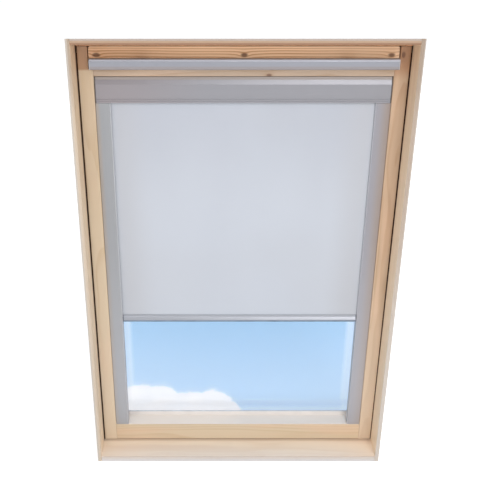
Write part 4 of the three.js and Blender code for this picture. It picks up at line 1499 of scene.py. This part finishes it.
@dataclass
class Blind:
    """The roller blind: cassette, channels, cloth and bottom bar."""

    finishes: Finishes
    wall: float = 1.8 * MM
    bevel_depth: float = 4.0 * MM
    bevel_height: float = 10.4 * MM
    bevel_radius: float = 2.0 * MM
    cap_height: float = 6.9 * MM
    crown_radius: float = 0.8 * MM
    edge_radius: float = 0.6 * MM
    mouth_front: float = 5.0 * MM
    mouth_width: float = 9.0 * MM
    lip_radius: float = 0.5 * MM
    end_bevel: float = 0.4 * MM
    groove_heights: Pair = (4.6 * MM, 9.4 * MM)
    groove_width: float = 1.3 * MM
    groove_depth: float = 0.7 * MM
    slot_depth: float = 14.0 * MM
    slot_front: float = 5.0 * MM
    slot_width: float = 6.6 * MM
    channel_wall: float = 2.5 * MM
    channel_lip: float = 3.0 * MM
    channel_outer_radius: float = 0.7 * MM
    channel_inner_radius: float = 1.0 * MM
    channel_back_radius: float = 0.8 * MM
    brush_rows: int = 600
    brush_backing: float = 0.5 * MM
    brush_shoulder: float = 0.6 * MM
    brush_shares: tuple[float, ...] = (0.0, 0.75, 1.0, 0.75, 0.0)
    foot_seal: float = 7.0 * MM
    foot_bite: float = 0.4 * MM
    foot_lift: float = 1.8 * MM
    seal_inset: float = 0.6 * MM
    seal_shoulder: float = 1.2 * MM
    seal_slants: Pair = (3.0 * MM, 2.0 * MM)
    seal_radii: Pair = (0.8 * MM, 1.0 * MM)
    neck_set: float = 4.5 * MM
    neck_height: float = 5.0 * MM
    neck_radius: float = 1.5 * MM
    lip_drop: float = 11.0 * MM
    bar_radius: float = 1.2 * MM
    cloth_groove: Pair = (5.8 * MM, 4.7 * MM)
    cloth_groove_depth: float = 7.3 * MM
    cloth_groove_radius: float = 0.3 * MM
    cloth_thickness: float = 0.42 * MM
    cloth_wave: float = 0.12 * MM
    cloth_columns: int = 61
    cloth_rows: int = 121
    roll_pitch: float = 0.5 * MM
    roll_inner_gap: float = 0.35 * MM
    roll_steps: int = 40

    def build(self) -> None:
        """Makes every piece of the blind."""
        self.cassette()
        for side in SIDES:
            self.cassette_end(side)
            self.channel(side)
            self.brush(side)
            self.guide(side)
        self.bottom_bar()
        self.bottom_seal()
        self.cloth_half("upper", "sash", "cloth_upper")
        self.cloth_half("lower", "cloth_lower", "bottom_bar")
        self.roll()
        dress(["roller_tube", *both("roller_pin")], self.finishes.zinc)
        dress(both("roller_plug"), self.finishes.dark_plastic)

    def face(self, front: float, low: float) -> list[tuple[float, ...]]:
        """Works out the grooved corners of the cassette's face, going up from its lower edge.

        Args:
            front: How far out the face lies.
            low: The height of its lower edge.

        Returns:
            The corners.
        """
        corners: list[tuple[float, ...]] = [(front, low, self.edge_radius)]
        inset, slant = front + self.groove_depth, self.groove_width / 4
        for height in self.groove_heights:
            start, end = low + height, low + height + self.groove_width
            corners += [(front, start), (inset, start + slant), (inset, end - slant), (front, end)]
        return corners

    def crown(self, front: float, back: float, high: float) -> list[tuple[float, ...]]:
        """Works out the cassette's corners over its face: a bevel, then the top.

        Args:
            front: How far out the face lies.
            back: How far out the back lies.
            high: The height of the top.

        Returns:
            The corners, from the face's upper edge to the back.
        """
        bevel_top, inset = high - self.cap_height, front + self.bevel_depth
        return [
            (front, bevel_top - self.bevel_height, self.bevel_radius),
            (inset, bevel_top, self.bevel_radius), (inset, high, self.crown_radius),
            (back, high, self.edge_radius),
        ]

    def cassette(self) -> None:
        """Makes the shell: a face with two grooves, a bevel, a back and a mouth for the cloth."""
        (_, front, low), (_, back, high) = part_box("blind_cassette")
        bevel_top = high - self.cap_height
        near, far, floor = front + self.wall, back - self.wall, low + self.wall
        crown = front + self.bevel_depth + self.wall
        mouth, mouth_end = front + self.mouth_front, front + self.mouth_front + self.mouth_width
        corners = self.face(front, low) + self.crown(front, back, high) + [
            (back, low, self.edge_radius), (mouth_end, low, self.lip_radius),
            (mouth_end, floor, self.lip_radius), (far, floor), (far, high - self.wall),
            (crown, high - self.wall), (crown, bevel_top + self.wall / 2),
            (near, bevel_top - self.bevel_height + self.wall / 2), (near, floor),
            (mouth, floor, self.lip_radius), (mouth, low, self.lip_radius),
        ]
        reach = span_of("blind_cassette", Axis.ACROSS)
        shell = bar("cassette_shell", rounded(corners, 4), Axis.ACROSS, reach)
        settle(shell, "sash", "blind_aluminium", self.finishes.alloy_across, "blind_cassette")

    def cassette_end(self, side: str) -> None:
        """Makes an end plate with the cassette's outline and a rounded rim.

        Args:
            side: The side of the window.
        """
        node = f"blind_cassette_end_{side}"
        (_, front, low), (_, back, high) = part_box(node)
        corners = [
            (front, low, self.edge_radius), *self.crown(front, back, high),
            (back, low, self.edge_radius),
        ]
        reach = span_of(node, Axis.ACROSS)
        plate = bar(f"cassette_cap_{side}", rounded(corners, 4), Axis.ACROSS, reach)
        ease(plate, self.end_bevel)
        # the plate's dark plastic is painted shade for the gap beside the stile
        settle(plate, "sash", "grey_plastic", self.finishes.gap_shade_cap_plastic, node)

    def channel(self, side: str) -> None:
        """Makes a side channel, with the cloth's slot and a chamber that is open at its back.

        Args:
            side: The side of the window.
        """
        node = f"side_channel_{side}"
        (left, front, _), (right, back, _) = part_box(node)
        outer, inner = (left, right) if side == "left" else (right, left)
        way = math.copysign(1.0, inner - outer)
        slot, slot_end = front + self.slot_front, front + self.slot_front + self.slot_width
        depth = inner - way * self.slot_depth
        start, end = outer + way * self.channel_wall, depth - way * self.channel_wall
        lip, edge = way * self.channel_lip, self.lip_radius
        deep, shallow = front + self.channel_wall, back - self.channel_wall
        corners = (
            (outer, front, self.channel_outer_radius), (inner, front, self.channel_inner_radius),
            (inner, slot, edge), (depth, slot), (depth, slot_end), (inner, slot_end, edge),
            (inner, back, self.channel_back_radius), (end - lip, back, edge),
            (end - lip, shallow), (end, shallow), (end, deep), (start, deep), (start, shallow),
            (start + lip, shallow), (start + lip, back, edge),
            (outer, back, self.channel_back_radius),
        )
        rail = bar(f"channel_rail_{side}", rounded(corners, 4), Axis.UP, span_of(node, Axis.UP))
        settle(rail, "sash", "blind_aluminium", self.finishes.alloy_upright, node)

    def brush(self, side: str) -> None:
        """Makes a pile strip: a backing and a wavy crest of fibres along it.

        At row n of the grid, which goes round the section and up the strip, the crest stands
        0.75 + 0.25 sin(2.1 n) of the pile's depth over the backing.

        Args:
            side: The side of the window.
        """
        node = f"channel_brush_{side}"
        (left, front, low), (right, back, high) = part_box(node)
        rows, shoulder = self.brush_rows, self.brush_shoulder
        backing = back - self.brush_backing
        ripple = 0.75 + 0.25 * np.sin(np.arange(rows) * 2.1)
        crest = backing - (backing - front) * ripple
        across = (left, left + shoulder, (left + right) / 2, right - shoulder, right, right, left)
        y = np.full((rows, len(across)), back)
        share = np.array(self.brush_shares)
        y[:, :len(share)] = backing + (crest[:, None] - backing) * share
        heights = np.linspace(low, high, rows)[:, None]
        points = np.stack(np.broadcast_arrays(np.array(across), y, heights), -1)
        strip = make_object(f"brush_pile_{side}", points, tube_faces(rows, len(across)))
        settle(strip, "sash", "dark_plastic", self.finishes.pile, node)

    def bar_outline(self) -> np.ndarray:
        """Works out the bottom bar's section: a neck, a lip to pull on, and a foot below it.

        Returns:
            The section's points, in depth and height.
        """
        (_, lip, low), (_, back, high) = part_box("blind_bottom_bar")
        low = low + self.foot_seal - self.foot_bite
        neck = lip + self.neck_set
        groove_front, groove_back = back - self.cloth_groove[0], back - self.cloth_groove[1]
        floor = high - self.cloth_groove_depth
        corners = (
            (neck, high, self.lip_radius), (neck, high - self.neck_height, self.neck_radius),
            (lip, high - self.lip_drop, self.bar_radius), (lip, low, self.bar_radius),
            (back, low, self.bar_radius), (back, high, self.lip_radius),
            (groove_back, high, self.cloth_groove_radius), (groove_back, floor),
            (groove_front, floor), (groove_front, high, self.cloth_groove_radius),
        )
        return rounded(corners, 5)

    def bottom_bar(self) -> None:
        """Makes the bar that the cloth hangs in."""
        reach = span_of("blind_bottom_bar", Axis.ACROSS)
        piece = bar("bottom_bar", self.bar_outline(), Axis.ACROSS, reach)
        settle(piece, "bottom_bar", "blind_aluminium", self.finishes.foot_alloy, "blind_bottom_bar")

    def bottom_seal(self) -> None:
        """Makes the seal along the foot of the bottom bar."""
        (left, lip, low), (right, back, _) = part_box("blind_bottom_bar")
        top, foot = low + self.foot_seal, low + self.foot_lift
        front, rear = lip + self.seal_inset, back - self.seal_inset
        shoulder, (upper, lower) = foot + self.seal_shoulder, self.seal_radii
        corners = (
            (front, top), (front, shoulder, upper), (lip + self.seal_slants[0], foot, lower),
            (back - self.seal_slants[1], foot, lower), (rear, shoulder, upper), (rear, top),
        )
        seal = bar("bottom_bar_seal", rounded(corners, 4), Axis.ACROSS, (left, right))
        settle(seal, "bottom_bar", "dark_plastic", self.finishes.foot_rubber)

    def guide(self, side: str) -> None:
        """Dresses a guide cap, whose tongue runs in the channel."""
        dress([f"bottom_bar_guide_{side}"], self.finishes.dark_plastic)

    def cloth_half(self, half: str, upper_body: str, lower_body: str) -> None:
        """Makes half of the hanging cloth, as a thin closed sheet with slight tension waves.

        The sheet's middle lies off the plane by wave * sin(18 * share across) * sin(pi * share
        up), and its two faces stand half the thickness off that.

        Args:
            half: Which half it is.
            upper_body: The body named for its top edge, which is only logged.
            lower_body: The body named for its bottom edge, which is only logged.
        """
        node = f"blind_cloth_{half}"
        (left, front, low), (right, back, high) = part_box(node)
        columns, rows = self.cloth_columns, self.cloth_rows
        x, z = np.meshgrid(np.linspace(left, right, columns), np.linspace(low, high, rows))
        middle = (front + back) / 2
        across, up = (x - left) / (right - left), (z - low) / (high - low)
        y = middle + self.cloth_wave * np.sin(18 * across) * np.sin(np.pi * up)
        half_thick = self.cloth_thickness / 2
        points = np.stack([np.stack([x, y + off, z], -1) for off in (-half_thick, half_thick)])
        skin = grid_faces(rows, columns, False)
        count = rows * columns
        index = np.arange(count).reshape(rows, columns)
        rim = np.concatenate([index[0], index[1:, -1], index[-1, -2::-1], index[-2:0:-1, 0]])
        after = np.roll(rim, -1)
        hem = np.stack([rim, after, after + count, rim + count], -1)
        faces = np.concatenate([skin, skin[:, ::-1] + count, hem])
        uv = np.stack([x, z], -1)
        sheet = make_object(f"cloth_{half}_sheet", points, faces, np.stack([uv, uv]))
        sheet.data.materials.append(self.finishes.cloth)
        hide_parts(node)
        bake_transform(sheet)
        LOG.info("%s blends from %s to %s", sheet.name, upper_body, lower_body)

    def roll(self) -> None:
        """Makes the wound cloth as one long strip that winds outwards.

        The strip's middle line has the radius inner + pitch * turns, and its two sides stand
        half the thickness off it.
        """
        (left, front, low), (right, back, high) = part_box("blind_cloth_roll")
        tube_low, tube_high = span_of("roller_tube", Axis.UP)
        middle_y, middle_z = (front + back) / 2, (low + high) / 2
        half_thick = self.cloth_thickness / 2
        outer = (high - low) / 2 - half_thick
        inner = (tube_high - tube_low) / 2 + self.roll_inner_gap + half_thick
        turns = (outer - inner) / self.roll_pitch
        angle = np.linspace(0, 2 * math.pi * turns, int(self.roll_steps * turns))
        radius = inner + self.roll_pitch * angle / (2 * math.pi)
        turned = angle + math.pi - 2 * math.pi * turns
        y, z = np.cos(turned), np.sin(turned)
        sides = [
            np.stack([middle_y + reach * y, middle_z + reach * z], -1)
            for reach in (radius + half_thick, radius - half_thick)
        ]
        outline = np.concatenate([sides[0], sides[1][::-1]])
        travel = np.concatenate([angle * radius, (angle * radius)[::-1]])
        points = np.stack([laid(outline, Axis.ACROSS, at) for at in (left, right)])
        uv = np.stack([laid(travel[:, None], Axis.ACROSS, at) for at in (left, right)])
        faces = tube_faces(len(points), len(outline))
        piece = make_object("cloth_roll_spiral", points, faces, uv)
        settle(piece, "roller", "blind_cloth", self.finishes.cloth, "blind_cloth_roll")
        length = float(math.pi * (outer**2 - inner**2) / self.roll_pitch)


@dataclass
class Glass:
    """The insulating glass unit and the bead round it."""

    finishes: Finishes
    bead_width: float = 8.5 * MM
    bead_radii: Pair = (0.4 * MM, 0.8 * MM)
    gasket_width: float = 2.0 * MM
    gasket_drops: Pair = (0.3 * MM, 0.6 * MM)
    lean: float = 2.0 * MM

    def build(self) -> None:
        """Dresses the unit and makes the bead."""
        dress(["glass_inner_pane"], self.finishes.inner_glass)
        dress(["glass_outer_pane"], self.finishes.outer_glass)
        dress(["glass_spacer"], self.finishes.spacer)
        (_, front, _), (_, back, _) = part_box("glazing_bead")
        width, tip = self.bead_width, back - self.lean
        rim, nose = self.bead_radii
        bead = self.ring("glazing_bead_strip", (
            (0.0, back), (0.0, front, rim), (width, tip, nose), (width, back),
        ))
        settle(bead, "sash", "pale_gasket", self.finishes.bead, "glazing_bead")
        edge = width + self.gasket_width
        near, far = self.gasket_drops
        gasket = self.ring("glazing_gasket", (
            (width, back), (width, tip + near, near), (edge, tip + far, far), (edge, back),
        ))
        settle(gasket, "sash", "pale_gasket", self.finishes.gasket)

    def ring(self, name: str, corners: Corners) -> Piece:
        """Carries a section round the pane's edge with mitred corners.

        At each corner the section moves in by its own width along both sides, so that the
        four stretches meet on the diagonals.

        Args:
            name: The piece's name.
            corners: The section's corners: how far in from the bead's outside, depth, radius.

        Returns:
            The ring.
        """
        (left, _, low), (right, _, high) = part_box("glazing_bead")
        section = rounded(corners, 5)
        inward, y = section[:, 0], section[:, 1]
        turns = ((left, low, 1, 1), (right, low, -1, 1), (right, high, -1, -1), (left, high, 1, -1))
        rings = [
            np.stack([x + way_x * inward, y, z + way_z * inward], -1)
            for x, z, way_x, way_z in turns
        ]
        return make_object(name, np.stack(rings), ring_faces(len(rings), len(section)))


@dataclass
class Screw:
    """A dome-headed screw with a cross recess, which looks along one axis.

    At share s of the radius the head stands height * (0.35 + 0.65 sqrt(1 - s^2)) high, less
    the recess where the point lies in the cross, on a grid of rings and spokes.
    """

    radius: float = 3.6 * MM
    height: float = 1.7 * MM
    recess: float = 1.0 * MM
    slot: float = 0.75 * MM
    cross_share: float = 0.62
    first_share: float = 0.04
    skirt: float = 0.2 * MM
    spokes: int = 32
    rings: int = 9

    def build(self, name: str, place: Triple, axis: Axis, way: float) -> Piece:
        """Makes the head.

        Args:
            name: The piece's name.
            place: The middle of the face that it sits on.
            axis: The axis that the head looks along.
            way: 1 where it looks along the axis and -1 where it looks against it.

        Returns:
            The head.
        """
        angle = np.linspace(0, 2 * math.pi, self.spokes, endpoint=False)[None, :]
        share = np.linspace(self.first_share, 1, self.rings)[:, None]
        u, v = self.radius * share * np.cos(angle), self.radius * share * np.sin(angle)
        dome = self.height * (0.35 + 0.65 * np.sqrt(np.clip(1 - share**2, 0, 1))) + 0 * angle
        in_arm = np.minimum(np.abs(u), np.abs(v)) < self.slot / 2
        cross = in_arm & (np.hypot(u, v) < self.radius * self.cross_share)
        head = np.stack([u, v, dome - np.where(cross, self.recess, 0.0)], -1)
        foot = np.stack([u[-1:], v[-1:], np.full_like(u[-1:], -self.skirt)], -1)
        points = np.concatenate([head, foot])
        placed = laid(points[..., :2].reshape(-1, 2), axis, 0.0) + np.array(place)
        placed[:, axis.value] += way * points[..., 2].ravel()
        return make_object(name, placed, tube_faces(self.rings + 1, self.spokes))


@dataclass
class Covers:
    """The outside covers, the hinges and the small metal parts."""

    finishes: Finishes
    side_shares: Triple = (0.06, 0.5, 0.94)
    side_inset_share: float = 0.38
    row_inset: float = 12.0 * MM
    row_margin: float = 50.0 * MM
    row_count: int = 5

    def build(self) -> None:
        """Dresses the covers and hinges and adds the screws that hold them."""
        covers = both("frame_side_cover") + both("glazing_cover") + both("sash_side_cover")
        covers += ["frame_hood", "frame_sill_cover", "glazing_cover_top", "glazing_cover_bottom"]
        dress([*covers, "sash_apron"], self.finishes.cover)
        hinges = both("pivot_frame_plate") + both("pivot_pin") + both("pivot_sash_plate")
        locks = [*both("flap_pin"), "lock_case", "lock_strike_plate"]
        dress(hinges + locks, self.finishes.zinc)
        dress(both("jamb_seal"), self.finishes.rubber)
        dress(["air_filter"], self.finishes.foam)
        for stem, body in (("frame_side_cover", "frame"), ("sash_side_cover", "sash")):
            for side in SIDES:
                self.side_screws(stem, side, body)
        for node, body in (("frame_hood", "frame"), ("sash_apron", "sash")):
            self.row_of_screws(node, body)

    def screw(self, name: str, place: Triple, body: str) -> None:
        """Sets a screw that looks out."""
        head = Screw().build(name, place, Axis.OUT, 1.0)
        settle(head, body, "hinge_steel", self.finishes.zinc)

    def side_screws(self, stem: str, side: str, body: str) -> None:
        """Sets screws up a side cover, a little outside its middle.

        Args:
            stem: The cover's name without its side.
            side: The side of the window.
            body: The body that the cover belongs to.
        """
        low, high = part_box(f"{stem}_{side}")
        outer, inner = (low[0], high[0]) if side == "left" else (high[0], low[0])
        x = outer + (inner - outer) * self.side_inset_share
        for number, share in enumerate(self.side_shares, 1):
            place = (x, high[1], low[2] + (high[2] - low[2]) * share)
            self.screw(f"{stem}_screw_{side}_{number}", place, body)

    def row_of_screws(self, node: str, body: str) -> None:
        """Sets a row of screws along the foot of a cover.

        Args:
            node: The cover.
            body: The body that it belongs to.
        """
        low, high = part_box(node)
        row = np.linspace(low[0] + self.row_margin, high[0] - self.row_margin, self.row_count)
        for number, x in enumerate(row, 1):
            place = (float(x), high[1], low[2] + self.row_inset)
            self.screw(f"{node}_screw_{number}", place, body)


# The studio


@dataclass(frozen=True)
class Lamp:
    """A soft rectangular lamp: its place, what it looks at, its size and its power in watts."""

    name: str
    place: Triple
    target: Triple
    size: Pair
    power: float
    mirrored: bool = True

    def build(self) -> None:
        """Adds the lamp, which shiny surfaces show where it is mirrored."""
        data = bpy.data.lights.new(self.name, "AREA")
        data.shape = "RECTANGLE"
        data.size, data.size_y = self.size
        data.energy = self.power
        lamp = bpy.data.objects.new(self.name, data)
        lamp.location = self.place
        x, y, z = np.array(self.target) - np.array(self.place)
        tilt = math.atan2(math.hypot(x, y), -z)
        lamp.rotation_euler = (tilt, 0, math.atan2(y, x) - math.pi / 2)
        lamp.visible_glossy = self.mirrored
        bpy.context.scene.collection.objects.link(lamp)


@dataclass
class Studio:
    """A pale floor, soft lamps and the camera of the photograph."""

    focal_pixels: float = 870.0
    centre_pixel: Pair = (213.0, 250.0)
    picture_pixels: float = 500.0
    sensor: float = 36.0
    place: Triple = (-0.070, -1.940, 1.654)
    pitch_degrees: float = 27.9
    floor_reach: float = 30.0
    floor_drop: float = 0.4 * MM
    floor_speckle: float = 60.0
    glow_distances: Pair = (2.2, 6.0)
    near_glow: Colour = (0.50, 0.50, 0.50, 1.0)
    far_glow: Colour = (0.57, 0.57, 0.57, 1.0)
    sky_colour: Colour = (0.94, 0.97, 1.0, 1.0)
    sky_strength: float = 0.55
    white: Colour = (1.0, 1.0, 1.0, 1.0)
    lamps: tuple[Lamp, ...] = (
        Lamp("key", (0.82, -2.85, 1.95), (0.0, 0.0, 0.6), (1.2, 1.6), 31.0),
        Lamp("fill", (-2.2, -2.6, 0.7), (0.0, 0.0, 0.6), (2.4, 2.0), 21.0),
        Lamp("low", (0.2, -3.2, 0.35), (0.0, 0.0, 0.2), (2.4, 0.5), 12.0, False),
        Lamp("top", (0.0, -2.5, 3.3), (0.0, 0.0, 1.0), (3.2, 0.6), 23.0),
        Lamp("rear", (0.4, 3.4, 2.8), (0.0, 0.0, 0.7), (2.6, 2.6), 36.0),
    )

    def build(self) -> None:
        """Makes the camera, the floor, the world and the lamps."""
        bpy.context.scene.view_settings.view_transform = "Standard"
        self.camera()
        self.floor()
        self.world()
        for lamp in self.lamps:
            lamp.build()

    def camera(self) -> None:
        """Places the camera, whose lens and shift come from the photograph's frame."""
        data = bpy.data.cameras.new("camera")
        data.sensor_width = self.sensor
        data.lens = self.sensor * self.focal_pixels / self.picture_pixels
        data.shift_x = (self.picture_pixels / 2 - self.centre_pixel[0]) / self.picture_pixels
        data.shift_y = (self.centre_pixel[1] - self.picture_pixels / 2) / self.picture_pixels
        camera = bpy.data.objects.new("camera", data)
        camera.location = self.place
        camera.rotation_euler = (math.radians(90 - self.pitch_degrees), 0, 0)
        bpy.context.scene.collection.objects.link(camera)
        bpy.context.scene.camera = camera

    def floor(self) -> None:
        """Lays the floor, which a camera, gloss or glass sees a little lighter than it is lit."""
        ways = np.array([(-1, -1), (1, -1), (1, 1), (-1, 1)], float)
        points = laid(ways * self.floor_reach, Axis.UP, -self.floor_drop)
        floor = make_object("studio_floor", points, [[0, 1, 2, 3]])
        graph = Graph("floor")
        place = graph.place()
        speckle = graph.noise(place, self.floor_speckle)
        base = graph.mix(speckle * 0.3, rgb(240, 240, 240), rgb(236, 236, 236))
        x, y, _ = graph.parts(place)
        distance = (x * x + y * y) ** 0.5
        colour = graph.mix(distance.ramp(*self.glow_distances), self.near_glow, self.far_glow)
        lifted = graph.rays("Is Camera Ray", "Is Glossy Ray", "Is Transmission Ray")
        plain = graph.surface(Base_Color=base, Roughness=0.9, Specular_IOR_Level=0.1)
        glow = graph.node("ShaderNodeEmission", {"Color": colour, "Strength": lifted})
        shader = graph.node("ShaderNodeAddShader", {0: plain, 1: glow})
        floor.data.materials.append(graph.done(shader))

    def world(self) -> None:
        """Lights the scene evenly, and shows white to the camera and through glass."""
        graph = Graph("studio", world=True)
        bpy.context.scene.world = graph.owner
        sky = {"Color": self.sky_colour, "Strength": self.sky_strength}
        soft = graph.node("ShaderNodeBackground", sky)
        white = graph.node("ShaderNodeBackground", {"Color": self.white, "Strength": 1.0})
        seen = graph.rays("Is Camera Ray", "Is Transmission Ray")
        mixed = graph.node("ShaderNodeMixShader", {0: seen, 1: soft, 2: white})
        graph.node("ShaderNodeOutputWorld", {"Surface": mixed})


def main() -> None:
    """Builds the studio and the window, sub-assembly by sub-assembly."""
    logging.basicConfig(level=logging.INFO, format="%(name)s: %(message)s")
    Studio().build()
    finishes = Finishes()
    for assembly in (Timber, Covers, Glass, Flap, Blind):
        assembly(finishes).build()
        LOG.info("%s done", assembly.__name__)


if __name__ == "__main__":
    main()
